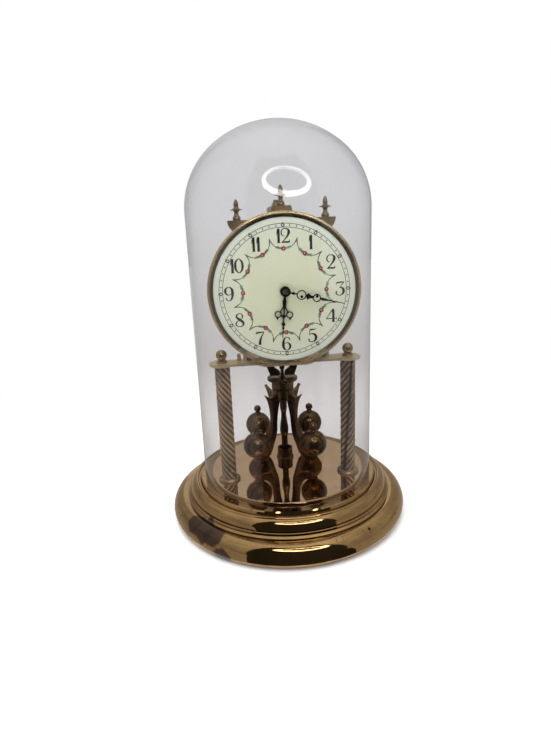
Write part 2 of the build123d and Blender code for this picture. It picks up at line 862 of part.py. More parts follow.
# ---------------------------------------------------------------- suspension bridge
bridge_front = finial_y - finial_foot_radius - bridge_nose
bridge_back = suspension_y + bridge_tail_length
flange_back = plate_back + bridge_flange
block_clearance = 0.05
top_block_z = bridge_z - top_block_drop
top_block_top = bridge_top + top_block_rise
clamp_z = bridge_z + bridge_thickness / 2
clamp_radius = 0.6
with BuildPart() as top_bridge:
    bridge_half_width = plate_neck_half_width
    bridge_top_half_width = bridge_half_width - bridge_chamfer
    with BuildSketch(facing(flange_back)):
        Polygon(
            (-bridge_half_width, bridge_z),
            (bridge_half_width, bridge_z),
            (bridge_top_half_width, bridge_top),
            (-bridge_top_half_width, bridge_top),
            align=None,
        )
    extrude(amount=flange_back - bridge_front)
    with BuildSketch(facing(bridge_back)):
        with Locations((0, bridge_z)):
            Rectangle(
                2 * bridge_tail_half_width, bridge_thickness, align=(Align.CENTER, Align.MIN)
            )
    extrude(amount=bridge_back - flange_back)
    with BuildSketch(facing(flange_back)):
        with Locations((0, bridge_z)):
            Rectangle(2 * bridge_half_width, bridge_flange_height, align=(Align.CENTER, Align.MAX))
        plate_holes(bridge_screw_points, small_screw_radius + screw_clearance)
    extrude(amount=flange_back - plate_back)
    with BuildSketch(Plane.XY.offset(bridge_z)):
        with Locations(cup_point):
            Rectangle(
                2 * (top_block_half_width + block_clearance),
                top_block_depth + 2 * block_clearance,
            )
    extrude(amount=bridge_thickness, mode=Mode.SUBTRACT)
    post(0, finial_y, bridge_z, bridge_top, small_screw_radius + screw_clearance, Mode.SUBTRACT)
    clamp_plane = Plane(
        origin=(-bridge_tail_half_width, suspension_y, clamp_z), x_dir=(0, 1, 0), z_dir=(-1, 0, 0)
    )
    with BuildSketch(clamp_plane):
        Circle(clamp_radius + screw_clearance)
    extrude(amount=-bridge_tail_half_width, mode=Mode.SUBTRACT)
save(top_bridge.part, "top_bridge")

with BuildPart() as suspension_saddle:
    saddle_top = bridge_top + saddle_height
    with BuildSketch(Plane.XY.offset(bridge_top)):
        with Locations(cup_point):
            Rectangle(2 * saddle_half_width, saddle_depth)
    extrude(amount=saddle_height)
    fillet(suspension_saddle.edges().filter_by(Axis.Y).group_by(Axis.Z)[-1], 0.6)
    with BuildSketch(Plane.XY.offset(bridge_top)):
        with Locations(cup_point):
            Rectangle(
                2 * (top_block_half_width + block_clearance),
                top_block_depth + 2 * block_clearance,
            )
    extrude(amount=top_block_top - bridge_top + block_clearance, mode=Mode.SUBTRACT)
    post(*cup_point, bridge_top, saddle_top, small_screw_radius + screw_clearance, Mode.SUBTRACT)
save(suspension_saddle.part, "suspension_saddle")

with BuildPart() as suspension_top_block:
    with BuildSketch(Plane.XY.offset(top_block_z)):
        with Locations(cup_point):
            Rectangle(2 * top_block_half_width, top_block_depth)
    extrude(amount=top_block_top - top_block_z)
save(suspension_top_block.part, "suspension_top_block")

# Levels of the pendulum, counted down from the guard
guard_gap = 1.2
disc_top = guard_bottom - guard_gap
disc_z = disc_top - disc_thickness
drum_top = disc_z - hub_block_height
drum_z = drum_top - drum_height
bottom_block_z = guard_bottom + 4.3
bottom_block_height = 6.0
bottom_block_top = bottom_block_z + bottom_block_height
spring_bore = 0.35
with BuildPart() as suspension_spring:
    spring_z = bottom_block_top - 1.5
    with BuildSketch(Plane.XY.offset(spring_z)):
        with Locations(cup_point):
            Rectangle(spring_width, spring_thickness)
    extrude(amount=top_block_z - spring_z)
save(suspension_spring.part, "suspension_spring")

# Fork clamped on the spring: its two tines reach forward round the anchor pin
pin_y = plate_back + 2.9
pin_radius = 0.35
pin_top = anchor_at[1] + 11.2
tine_gap = 0.45
tine_width = 0.6
tine_z = pin_top - 1.1
fork_half_width = tine_gap + tine_width
with BuildPart() as suspension_fork:
    with BuildSketch(Plane.XY.offset(tine_z - 1.2)):
        with Locations(cup_point):
            Rectangle(2 * fork_half_width, 1.8)
    extrude(amount=3.0)
    with BuildSketch(Plane.XY.offset(tine_z)):
        with Locations((0, pin_y - 0.7)):
            Rectangle(
                2 * fork_half_width, suspension_y - pin_y + 0.7, align=(Align.CENTER, Align.MIN)
            )
        with Locations((0, pin_y - 0.7)):
            Rectangle(2 * tine_gap, 5.0, align=(Align.CENTER, Align.MIN), mode=Mode.SUBTRACT)
    extrude(amount=0.6)
    post(*cup_point, tine_z - 2.0, tine_z + 3.0, spring_bore + 0.05, Mode.SUBTRACT)
save(suspension_fork.part, "suspension_fork")

# ---------------------------------------------------------------- rotating pendulum
with BuildPart() as suspension_bottom_block:
    with BuildSketch(Plane.XY.offset(bottom_block_z)):
        with Locations(cup_point):
            Rectangle(3.2, 2.0)
    extrude(amount=bottom_block_height)
    post(*cup_point, spring_z - 0.2, bottom_block_top, spring_bore, Mode.SUBTRACT)
save(suspension_bottom_block.part, "suspension_bottom_block")

hook_radius = 1.1
hook_foot = drum_top + 2.5
with BuildPart() as pendulum_hook:
    post(*cup_point, hook_foot, bottom_block_z, hook_radius)
    post(*cup_point, disc_top, disc_top + 0.6, hook_radius + 0.8)
save(pendulum_hook.part, "pendulum_hook")

with BuildPart() as pendulum_disc:
    post(*cup_point, disc_z, disc_top, disc_radius)
    fillet(pendulum_disc.edges(), 0.5)
    post(*cup_point, disc_z, disc_top, hook_radius + 0.02, Mode.SUBTRACT)
save(pendulum_disc.part, "pendulum_disc")

arm_root = 4.3
arm_slot = arm_thickness + 0.1
arm_angles = [pendulum_rest_angle + 90 * arm for arm in range(4)]
horn_root_z = drum_z + 3.4


def radial(angle):
    """Upright plane through the pendulum's axis: local x outwards, local y up."""
    outward = polar(1.0, angle)
    return Plane(
        origin=(*cup_point, 0), x_dir=(*outward, 0), z_dir=(outward[1], -outward[0], 0)
    )


with BuildPart() as pendulum_hub:
    turned(
        [
            (0, drum_z),
            (drum_radius - 0.6, drum_z),
            (drum_radius, drum_z + 0.6),
            (drum_radius, drum_top - 0.3),
            (drum_radius - 0.6, drum_top),
            (hub_block_radius, drum_top + 0.6),
            (hub_block_radius, disc_z),
            (0, disc_z),
        ],
        *cup_point,
    )
    post(*cup_point, hook_foot, disc_z, hook_radius + 0.02, Mode.SUBTRACT)
    for angle in arm_angles:
        with BuildSketch(radial(angle)):
            with Locations((arm_root - 0.1, drum_z)):
                Rectangle(drum_radius, horn_root_z - drum_z + 0.1, align=(Align.MIN, Align.MIN))
        extrude(amount=arm_slot / 2, both=True, mode=Mode.SUBTRACT)
        with BuildSketch(radial(angle + 45)):
            with Locations((drum_radius - 1.2, drum_z + 1.2)):
                Rectangle(drum_radius, drum_height - 2.4, align=(Align.MIN, Align.MIN))
        extrude(amount=1.0, both=True, mode=Mode.SUBTRACT)
save(pendulum_hub.part, "pendulum_hub")

ball_z = floor_z + pendulum_ball_height
pad_z = ball_z - pendulum_ball_radius - ball_seat_gap
arm_drop = drum_z - pad_z
arm_foot_z = pad_z - arm_foot_depth
ball_inside = pendulum_ball_circle - pendulum_ball_radius
with BuildPart() as pendulum_arms:
    horn_tip = (drum_radius + horn_reach, horn_root_z + horn_rise)
    for angle in arm_angles:
        with BuildSketch(radial(angle)):
            with BuildLine():
                Polyline(
                    (arm_root, drum_z),
                    (arm_root, horn_root_z),
                    (drum_radius + 0.6, horn_root_z),
                )
                ThreePointArc(
                    (drum_radius + 0.6, horn_root_z),
                    (drum_radius + 0.6 * horn_reach, horn_root_z + 0.45),
                    horn_tip,
                )
                Spline(
                    horn_tip,
                    (drum_radius + 0.62 * horn_reach, drum_z + 0.3),
                    (drum_radius + 0.46 * horn_reach, drum_z - 0.27 * arm_drop),
                    (drum_radius + 0.55 * horn_reach, drum_z - 0.61 * arm_drop),
                    (ball_inside - arm_ball_gap, pad_z + 0.62 * pendulum_ball_radius),
                    (pendulum_ball_circle - pad_half, pad_z),
                )
                Polyline(
                    (pendulum_ball_circle - pad_half, pad_z),
                    (pendulum_ball_circle + pad_half, pad_z),
                    (pendulum_ball_circle + pad_half, pad_z - 1.6),
                )
                Spline(
                    (pendulum_ball_circle + pad_half, pad_z - 1.6),
                    (pendulum_ball_circle - 1.0, arm_foot_z),
                    (ball_inside + 2.25, arm_foot_z),
                    (ball_inside - 2.35, arm_foot_z + 0.6 * arm_foot_depth),
                    (ball_inside - 5.55, pad_z + 0.13 * arm_drop),
                    (arm_root + 4.0, drum_z - 0.685 * arm_drop),
                    (arm_root + 2.8, drum_z - 0.37 * arm_drop),
                    (arm_root + 0.7, drum_z - 0.08 * arm_drop),
                    (arm_root, drum_z),
                )
            make_face()
        extrude(amount=arm_thickness / 2, both=True)
    for angle in arm_angles:
        x, y = polar(pendulum_ball_circle, angle)
        post(x, y + suspension_y, pad_z - 2.5, pad_z, ball_stud_radius + 0.02, Mode.SUBTRACT)
save(pendulum_arms.part, "pendulum_arms")

with BuildPart() as pendulum_rod:
    pin_z = floor_z + 3.0
    rod_length = drum_z - cup_top
    with BuildSketch(facing(suspension_y)):
        with BuildLine():
            Polyline((0, drum_z), (2.3, drum_z), (2.3, drum_z - 0.195 * rod_length))
            Spline(
                (2.3, drum_z - 0.195 * rod_length),
                (1.7, drum_z - 0.28 * rod_length),
                (2.45, drum_z - 0.515 * rod_length),
                (2.05, drum_z - 0.75 * rod_length),
            )
            Polyline(
                (2.05, drum_z - 0.75 * rod_length),
                (2.05, cup_top - 1.3),
                (guide_pin_radius, cup_top - 2.2),
                (guide_pin_radius, pin_z + 0.5),
                (0, pin_z),
                (0, drum_z),
            )
        make_face()
    revolve(axis=Axis((*cup_point, 0), (0, 0, 1)))
save(pendulum_rod.part, "pendulum_rod")

nub_radius = 2.4
nub_rise = 3.0
ball_top = ball_z + pendulum_ball_radius
with BuildPart() as pendulum_balls:
    for angle in arm_angles:
        x, y = polar(pendulum_ball_circle, angle)
        with Locations((x, y + suspension_y, ball_z)):
            Sphere(pendulum_ball_radius)
        post(
            x,
            y + suspension_y,
            ball_z - pendulum_ball_radius,
            ball_top,
            ball_stud_radius + 0.05,
            Mode.SUBTRACT,
        )
save(pendulum_balls.part, "pendulum_balls")

with BuildPart() as ball_finials:
    for angle in arm_angles:
        x, y = polar(pendulum_ball_circle, angle)
        y += suspension_y
        post(x, y, pad_z - 2.4, ball_top + nub_rise, ball_stud_radius)
        turned(
            [
                (0, ball_top),
                (2.0, ball_top),
                (1.7, ball_top + 0.5),
                (1.0, ball_top + 0.9),
                (1.0, ball_top + nub_rise),
                (0, ball_top + nub_rise),
            ],
            x,
            y,
        )
        with Locations((x, y, ball_top + nub_rise)):
            Sphere(nub_radius)
save(ball_finials.part, "ball_finials")

# ---------------------------------------------------------------- barrel and winding work
drum_outer = 16.4
barrel_wall = 0.8
barrel_depth = 11.0
barrel_flange = 2.0
hub_journal = 2.5
hub_core = 3.4
barrel_to_second = barrel_angle - 180
with BuildPart() as mainspring_barrel:
    drum_inner = drum_outer - barrel_wall
    barrel_front = barrel_layer - barrel_depth
    with BuildSketch(facing(barrel_layer, *barrel_at)):
        toothed(barrel_teeth, barrel_module, wheel_addendum, wheel_flank, barrel_to_second)
        Circle(drum_inner, mode=Mode.SUBTRACT)
    extrude(amount=barrel_flange)
    spindle(*barrel_at, barrel_layer, barrel_front, drum_outer)
    spindle(*barrel_at, barrel_layer, barrel_front + barrel_wall, drum_inner, Mode.SUBTRACT)
    journal_bore = hub_journal + pivot_clearance
    spindle(*barrel_at, barrel_layer, barrel_front, journal_bore, Mode.SUBTRACT)
save(mainspring_barrel.part, "mainspring_barrel")

with BuildPart() as barrel_cap:
    cap_back = barrel_layer + barrel_wall
    spindle(*barrel_at, cap_back, barrel_layer, drum_outer - 0.3)
    spindle(*barrel_at, cap_back, barrel_layer, journal_bore, Mode.SUBTRACT)
    with BuildSketch(facing(cap_back, *barrel_at)):
        with Locations(polar(drum_outer - 1.0, 60)):
            Rectangle(2.4, 2.4)
    extrude(amount=barrel_wall, mode=Mode.SUBTRACT)
save(barrel_cap.part, "barrel_cap")

spring_pitch = 1.3
spring_strip = 0.45
spring_half_turns = 16
with BuildPart() as mainspring:
    spring_back = barrel_layer - 0.8
    spring_front = barrel_front + barrel_wall + 0.8
    first_radius = hub_core + 0.8
    with BuildSketch(facing(spring_back, *barrel_at)):
        with BuildLine():
            for half in range(spring_half_turns):
                shift = spring_pitch / 2 * (half % 2)
                radius = first_radius + spring_pitch / 2 * half
                inner_coil = CenterArc((shift, 0), radius, 180 * half, 180)
                outer_coil = CenterArc((shift, 0), radius + spring_strip, 180 * half, 180)
                if half == 0:
                    Line(inner_coil @ 0, outer_coil @ 0)
            Line(inner_coil @ 1, outer_coil @ 1)
        make_face()
    extrude(amount=spring_back - spring_front)
save(mainspring.part, "mainspring")

ratchet_radius = 7.0
ratchet_root = 6.0
ratchet_teeth = 20
ratchet_back = plate_back + 1.6
ratchet_thickness = 1.2
square_flats = 3.2
square_back = plate_back + 7.0
with BuildPart() as winding_arbor:
    journal_back = plate_back_inside - end_shake
    journal_front = plate_front_inside + end_shake
    spindle(*barrel_at, journal_back, journal_front, hub_journal)
    spindle(*barrel_at, spring_back, spring_front, hub_core)
    spindle(*barrel_at, plate_back + 0.3, plate_front, winding_pivot_radius)
    with BuildSketch(facing(square_back, *barrel_at)):
        Rectangle(square_flats, square_flats)
    extrude(amount=square_back - plate_back)
save(winding_arbor.part, "winding_arbor")

with BuildPart() as ratchet_wheel:
    ratchet_step = 360 / ratchet_teeth
    with BuildSketch(facing(ratchet_back, *barrel_at)):
        Polygon(
            *[
                polar(radius, (tooth + share) * ratchet_step)
                for tooth in range(ratchet_teeth)
                for share, radius in ((0.0, ratchet_root), (0.93, ratchet_radius))
            ],
            align=None,
        )
        Rectangle(square_flats + 0.05, square_flats + 0.05, mode=Mode.SUBTRACT)
    extrude(amount=ratchet_thickness)
save(ratchet_wheel.part, "ratchet_wheel")

click_gap = 0.35
click_back = plate_back + 1.4
click_thickness = 1.0
click_boss = 1.9
nose_at = stepped(barrel_at, ratchet_radius + click_gap, 158)
along = (nose_at[0] - click_at[0], nose_at[1] - click_at[1])
reach = hypot(*along)
outwards = (-along[1] / reach, along[0] / reach)
with BuildPart() as click:
    with BuildSketch(facing(click_back)):
        with Locations(click_at):
            Circle(click_boss)
        Polygon(
            (click_at[0] - outwards[0] * click_boss, click_at[1] - outwards[1] * click_boss),
            nose_at,
            (nose_at[0] + outwards[0] * 1.1, nose_at[1] + outwards[1] * 1.1),
            (click_at[0] + outwards[0] * click_boss, click_at[1] + outwards[1] * click_boss),
            align=None,
        )
        plate_holes([click_at], small_screw_radius + screw_clearance)
    extrude(amount=click_thickness)
save(click.part, "click")

spring_base_y = plate_back + 0.8
# Blade spring bearing on the outside of the click
blade_thickness = 0.4
blade_gap = 0.2
blade_x = click_at[0] - click_boss - blade_gap
with BuildPart() as click_spring:
    with BuildSketch(facing(spring_base_y)):
        with Locations(click_spring_screw_at):
            Circle(1.7)
            Circle(small_screw_radius + screw_clearance, mode=Mode.SUBTRACT)
    extrude(amount=0.8)
    with BuildSketch(facing(click_back)):
        Polygon(
            (click_spring_screw_at[0] - 1.7, click_spring_screw_at[1]),
            (click_spring_screw_at[0] - 1.1, click_spring_screw_at[1] + 1.2),
            (blade_x, click_at[1] - 3.5),
            (blade_x, click_at[1] + 2.0),
            (blade_x - blade_thickness, click_at[1] + 2.0),
            (blade_x - blade_thickness, click_at[1] - 3.5),
            align=None,
        )
    extrude(amount=click_back - plate_back)
save(click_spring.part, "click_spring")

# ---------------------------------------------------------------- going train
pinion_margin = 0.6
collet_radius = 1.6
collet_length = 1.2


def collet(centre, layer):
    """Boss on the arbor that carries the wheel of the same arbor."""
    spindle(*centre, layer + collet_length, layer, collet_radius)
    spindle(*centre, layer, layer - wheel_thickness, arbor_radius + 0.3)


def train_pinion(centre, layer, thickness, module, first_gap):
    """Pinion that meshes with the wheel of the arbor below."""
    pinion(
        centre,
        layer + pinion_margin,
        layer - thickness - pinion_margin,
        pinion_leaves,
        module,
        first_gap,
    )


seat_bore = arbor_radius + 0.3
with BuildPart() as second_arbor:
    arbor(second_at)
    collet(second_at, second_layer)
    train_pinion(second_at, barrel_layer, barrel_flange, barrel_module, barrel_angle)
save(second_arbor.part, "second_arbor")

with BuildPart() as second_wheel:
    wheel(second_at, second_layer, second_teeth, fine_module, second_angle + 180, seat_bore)
save(second_wheel.part, "second_wheel")

with BuildPart() as third_arbor:
    arbor(third_at)
    collet(third_at, third_layer)
    train_pinion(third_at, second_layer, wheel_thickness, fine_module, second_angle)
save(third_arbor.part, "third_arbor")

with BuildPart() as third_wheel:
    wheel(third_at, third_layer, third_teeth, fine_module, third_angle + 180, seat_bore)
save(third_wheel.part, "third_wheel")

# The centre arbor runs on through the front plate to carry the hands
minute_back = dial_front - 2 * hand_gap - hand_thickness - 0.2
minute_front = minute_back - hand_thickness
nut_length = 1.0
with BuildPart() as centre_arbor:
    arbor(centre_at)
    spindle(*centre_at, centre_layer, minute_front - nut_length, hand_arbor_radius)
    collet(centre_at, centre_layer)
    train_pinion(centre_at, third_layer, wheel_thickness, fine_module, third_angle)
save(centre_arbor.part, "centre_arbor")

with BuildPart() as centre_wheel:
    wheel(centre_at, centre_layer, centre_teeth, upper_module, fourth_angle, seat_bore)
save(centre_wheel.part, "centre_wheel")

with BuildPart() as fourth_arbor:
    arbor(fourth_at)
    collet(fourth_at, fourth_layer)
    train_pinion(fourth_at, centre_layer, wheel_thickness, upper_module, fourth_angle + 180)
save(fourth_arbor.part, "fourth_arbor")

with BuildPart() as fourth_wheel:
    wheel(fourth_at, fourth_layer, fourth_teeth, upper_module, escape_angle, seat_bore)
save(fourth_wheel.part, "fourth_wheel")

with BuildPart() as escape_arbor:
    arbor(escape_at)
    collet(escape_at, escape_layer)
    train_pinion(escape_at, fourth_layer, wheel_thickness, upper_module, escape_angle + 180)
save(escape_arbor.part, "escape_arbor")

escape_root = 4.6
escape_step = 360 / escape_teeth
escape_tooth = ((0.0, escape_root), (0.12, escape_radius), (0.18, escape_radius), (0.6, escape_root))
with BuildPart() as escape_wheel:
    with BuildSketch(facing(escape_layer, *escape_at)):
        Polygon(
            *[
                polar(radius, (tooth + share) * escape_step)
                for tooth in range(escape_teeth)
                for share, radius in escape_tooth
            ],
            align=None,
        )
        crossings(seat_bore + 0.8, escape_root - 0.6, 0.8, 4)
        Circle(seat_bore, mode=Mode.SUBTRACT)
    extrude(amount=wheel_thickness)
save(escape_wheel.part, "escape_wheel")

# ---------------------------------------------------------------- anchor and its cock
anchor_back = escape_layer + 0.6
anchor_thickness = 2.0
pallet_x = escape_radius * sin(radians(43))
with BuildPart() as anchor:
    half = [
        (0, 1.9),
        (0.6 * pallet_x, 1.5),
        (pallet_x + 1.1, -1.2),
        (pallet_x + 1.4, -4.5),
        (pallet_x + 0.4, -4.15),
        (pallet_x, -1.8),
        (0.5 * pallet_x, -0.6),
        (0, -1.3),
    ]
    with BuildSketch(facing(anchor_back, *anchor_at)):
        Polygon(*half, *[(-x, z) for x, z in reversed(half[1:-1])], align=None)
        Circle(arbor_radius + 0.01, mode=Mode.SUBTRACT)
    extrude(amount=anchor_thickness)
save(anchor.part, "anchor")

cock_back = plate_back + 5.2
cock_wall = 1.0
with BuildPart() as anchor_arbor:
    spindle(*anchor_at, cock_back - cock_wall - 0.2, plate_front_inside + end_shake, arbor_radius)
    spindle(*anchor_at, cock_back, plate_front, pivot_radius)
    post(0, pin_y, anchor_at[1], pin_top, pin_radius)
save(anchor_arbor.part, "anchor_arbor")

with BuildPart() as anchor_cock:
    foot_width = 3.2
    cock_half_width = 7.0 + foot_width / 2
    with BuildSketch(facing(cock_back, *anchor_at)):
        Rectangle(2 * cock_half_width, 3.6)
        Circle(pivot_radius + pivot_clearance, mode=Mode.SUBTRACT)
        with Locations((-7.0, 0), (7.0, 0)):
            Circle(small_screw_radius + screw_clearance, mode=Mode.SUBTRACT)
    extrude(amount=cock_wall)
    with BuildSketch(facing(cock_back - cock_wall, *anchor_at)):
        with Locations((-7.0, 0), (7.0, 0)):
            Rectangle(foot_width, 3.6)
            Circle(small_screw_radius + screw_clearance, mode=Mode.SUBTRACT)
    extrude(amount=cock_back - cock_wall - plate_back)
save(anchor_cock.part, "anchor_cock")

# ---------------------------------------------------------------- motion work
tube_radius = 1.3
hour_tube_bore = tube_radius + 0.08
hour_tube_radius = 2.0
hour_back = dial_front - hand_gap
hour_front = hour_back - hand_thickness
stud_radius = 0.8
with BuildPart() as cannon_pinion:
    cannon_back = minute_layer + 0.3
    cannon_front = minute_layer - wheel_thickness - 0.2
    pinion(
        centre_at, cannon_back, cannon_front, cannon_leaves, motion_module, motion_angle, cannon_bore
    )
    spindle(*centre_at, cannon_back, minute_front, tube_radius)
    spindle(*centre_at, cannon_back, minute_front, cannon_bore, Mode.SUBTRACT)
save(cannon_pinion.part, "cannon_pinion")

with BuildPart() as minute_wheel:
    stud_bore = stud_radius + pivot_clearance
    wheel(
        motion_at, minute_layer, minute_wheel_teeth, motion_module, motion_angle + 180, stud_bore
    )
    pinion(
        motion_at,
        minute_layer - wheel_thickness,
        hour_layer - wheel_thickness - 0.3,
        pinion_leaves,
        motion_module,
        motion_angle + 180,
        stud_bore,
    )
save(minute_wheel.part, "minute_wheel")

with BuildPart() as hour_wheel:
    wheel(centre_at, hour_layer, hour_wheel_teeth, motion_module, motion_angle, hour_tube_bore)
    spindle(*centre_at, hour_layer, hour_front, hour_tube_radius)
    spindle(*centre_at, hour_layer, hour_front, hour_tube_bore, Mode.SUBTRACT)
save(hour_wheel.part, "hour_wheel")

# ---------------------------------------------------------------- dial and bezel
dial_flat_radius = dial_radius - dial_rim_width


def dial_line(face):
    """Flat of the dial and its gently turned-back rim, outwards from the hole."""
    Line((dial_hole_radius, face), (dial_flat_radius, face))
    ThreePointArc(
        (dial_flat_radius, face),
        (dial_radius - 0.45 * dial_rim_width, face + 0.3 * dial_rim_drop),
        (dial_radius, face + dial_rim_drop),
    )


with BuildPart() as dial:
    with BuildSketch(Plane.XY.offset(dial_z)):
        with BuildLine():
            dial_line(dial_front)
            dial_line(dial_back)
            Line((dial_hole_radius, dial_front), (dial_hole_radius, dial_back))
            Line((dial_radius, dial_front + dial_rim_drop), (dial_radius, dial_back + dial_rim_drop))
        make_face()
    revolve(axis=Axis((0, 0, dial_z), (0, 1, 0)))
    for x, z in dial_foot_points:
        spindle(x, z, plate_front_inside + 0.6, dial_back, dial_foot_radius)
save(dial.part, "dial")

with BuildPart() as bezel:
    rim_inside = bezel_radius - bezel_wall
    lip_back = dial_front + bezel_lip_set
    with BuildSketch(Plane.XY.offset(dial_z)):
        with BuildLine():
            Polyline(
                (bezel_opening, lip_back),
                (rim_inside, lip_back),
                (rim_inside, bezel_back),
                (bezel_radius, bezel_back),
                (bezel_radius, bezel_front + bezel_rounding),
            )
            ThreePointArc(
                (bezel_radius, bezel_front + bezel_rounding),
                (bezel_radius - 0.3 * bezel_rounding, bezel_front + 0.3 * bezel_rounding),
                (bezel_radius - bezel_rounding, bezel_front),
            )
            Polyline(
                (bezel_radius - bezel_rounding, bezel_front),
                (bezel_radius - bezel_rim, bezel_front + 0.2),
                (bezel_opening, lip_back - 0.3),
                (bezel_opening, lip_back),
            )
        make_face()
    revolve(axis=Axis((0, 0, dial_z), (0, 1, 0)))
save(bezel.part, "bezel")


# ---------------------------------------------------------------- hands
def ring(distance, offset, radius, stroke):
    """Pierced loop of a hand, in the sketch being built."""
    with Locations((offset, distance)):
        Circle(radius)
        Circle(radius - stroke, mode=Mode.SUBTRACT)


def bead(distance, offset, radius):
    with Locations((offset, distance)):
        Circle(radius)


def taper(start, end, start_width, end_width):
    """Straight tapering piece of a hand, in the sketch being built."""
    Polygon(
        (-start_width / 2, start),
        (start_width / 2, start),
        (end_width / 2, end),
        (-end_width / 2, end),
        align=None,
    )


loop_stroke = 0.55
with BuildPart() as hour_hand:
    unit = hour_hand_length / 25.5
    with BuildSketch(facing(hour_back, 0, dial_z, -hour_hand_angle)):
        for side in (-1, 1):
            ring(12.6 * unit, 3.2 * side, 1.9, loop_stroke)
            Polygon(
                (2.6 * side, 14.0 * unit),
                (3.4 * side, 15.7 * unit),
                (4.4 * side, 13.9 * unit),
                align=None,
            )
            Polygon(
                (1.0 * side, 8.5 * unit),
                (2.3 * side, 11.0 * unit),
                (1.4 * side, 13.4 * unit),
                (0.9 * side, 13.0 * unit),
                (1.6 * side, 11.0 * unit),
                (0.5 * side, 9.2 * unit),
                align=None,
            )
        taper(0, 3.4 * unit, 1.3, 1.1)
        taper(3.4 * unit, 5.6 * unit, 1.1, 2.3)
        taper(5.6 * unit, 9.2 * unit, 2.3, 1.8)
        taper(9.0 * unit, 12.5 * unit, 0.9, 0.6)
        taper(12.5 * unit, hour_hand_length, 0.9, 0.35)
        Polygon((0, 12.4 * unit), (1.5, 13.5 * unit), (0, 14.9 * unit), (-1.5, 13.5 * unit), align=None)
        bead(17.9 * unit, 0, 1.05)
        bead(20.0 * unit, 0, 0.7)
        Circle(hub_radius)
        Circle(hour_tube_radius + fit, mode=Mode.SUBTRACT)
    extrude(amount=hand_thickness)
save(hour_hand.part, "hour_hand")

with BuildPart() as minute_hand:
    unit = minute_hand_length / 33.1
    with BuildSketch(facing(minute_back, 0, dial_z, -minute_hand_angle)):
        taper(0, 3.6 * unit, 1.2, 0.9)
        bead(4.4 * unit, 0, 0.8)
        taper(4.0 * unit, 6.6 * unit, 0.9, 0.7)
        ring(8.9 * unit, 0, 2.65, loop_stroke)
        bead(9.2 * unit, 0.9, 0.75)
        taper(11.3 * unit, 15.4 * unit, 1.7, 1.5)
        for side in (-1, 1):
            Polygon(
                (0.4 * side, 11.6 * unit),
                (1.9 * side, 12.4 * unit),
                (0.8 * side, 14.0 * unit),
                align=None,
            )
        ring(17.4 * unit, 0, 2.2, loop_stroke)
        bead(17.3 * unit, -0.9, 0.75)
        taper(19.3 * unit, 20.6 * unit, 0.9, 1.7)
        taper(20.6 * unit, 25.0 * unit, 1.7, 0.7)
        taper(25.0 * unit, minute_hand_length, 0.7, 0.3)
        Circle(hub_radius)
        Circle(tube_radius + fit, mode=Mode.SUBTRACT)
    extrude(amount=hand_thickness)
save(minute_hand.part, "minute_hand")

with BuildPart() as hand_nut:
    nut_back = minute_front - 0.05
    spindle(*centre_at, nut_back, nut_back - nut_length, 1.5)
    spindle(*centre_at, nut_back, nut_back - nut_length, cannon_bore - 0.03, Mode.SUBTRACT)
save(hand_nut.part, "hand_nut")

# ---------------------------------------------------------------- screws
from_below = {"x_dir": (1, 0, 0), "z_dir": (0, 0, -1)}


def from_behind(y, x, z, turn):
    """Upright plane whose normal points to the back."""
    across = (-cos(radians(turn)), 0, sin(radians(turn)))
    return Plane(origin=(x, y, z), x_dir=across, z_dir=(0, 1, 0))


def screw(plane, length, shank, head, height):
    """Slotted screw whose head stands on the plane and whose shank goes into it."""
    with BuildSketch(plane) as shank_section:
        Circle(shank)
    extrude(shank_section.sketch, amount=-length)
    with BuildSketch(plane) as head_section:
        Circle(head)
    extrude(head_section.sketch, amount=height)
    with BuildSketch(plane.offset(height)) as slot:
        Rectangle(2.2 * head, screw_slot)
    extrude(slot.sketch, amount=-0.5 * height, mode=Mode.SUBTRACT)


def frame_screw(plane, length):
    screw(plane, length, screw_radius, screw_head_radius, screw_head_height)


def small_screw(plane, length):
    screw(plane, length, small_screw_radius, small_head_radius, small_head_height)


pillar_screw_length = plate_thickness + 3.0
with BuildPart() as frame_screws:
    for place, (x, z) in enumerate(pillar_points):
        frame_screw(facing(plate_front, x, z, 35 + 50 * place), pillar_screw_length)
        frame_screw(from_behind(plate_back, x, z, 20 + 65 * place), pillar_screw_length)
    for x, y in platform_screw_points:
        frame_screw(
            Plane(origin=(x, y, platform_z), **from_below),
            platform_thickness + lower_pillar_rise - screw_radius - 0.1,
        )
    for x in (-guard_screw_x, guard_screw_x):
        small_screw(
            Plane(origin=(x, guard_screw_y, platform_z - flange_thickness), **from_below),
            platform_thickness + flange_thickness,
        )
    for place, (x, z) in enumerate(bracket_screw_points):
        small_screw(
            facing(plate_front - bracket_thickness, x, z, 30 * place),
            bracket_thickness + plate_thickness,
        )
    for place, (x, z) in enumerate(bridge_screw_points):
        small_screw(
            from_behind(flange_back, x, z, 40 * place), flange_back - plate_back_inside
        )
    for place, (x, z) in enumerate(cock_screw_points):
        small_screw(from_behind(cock_back, x, z, 30 + 45 * place), cock_back - plate_back_inside)
    small_screw(
        from_behind(click_back + 0.1, *click_at, 25), click_back + 0.1 - plate_back_inside
    )
    small_screw(
        from_behind(spring_base_y, *click_spring_screw_at, 70), spring_base_y - plate_back_inside
    )
    screw(
        Plane(origin=(*cup_point, saddle_top), x_dir=(1, 0.4, 0), z_dir=(0, 0, 1)),
        saddle_top - top_block_top - 0.05,
        small_screw_radius,
        1.5,
        1.5,
    )
    screw(
        clamp_plane,
        bridge_tail_half_width - top_block_half_width - 0.02,
        clamp_radius,
        0.9,
        1.2,
    )
save(frame_screws.part, "frame_screws")
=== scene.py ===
"""Looks of a torsion-pendulum mantel clock: aged brass, a printed enamel dial and a clear glass dome.

Lengths are in metres, and in millimetres where MM multiplies them. The clock faces -Y and stands on Z = 0.
"""

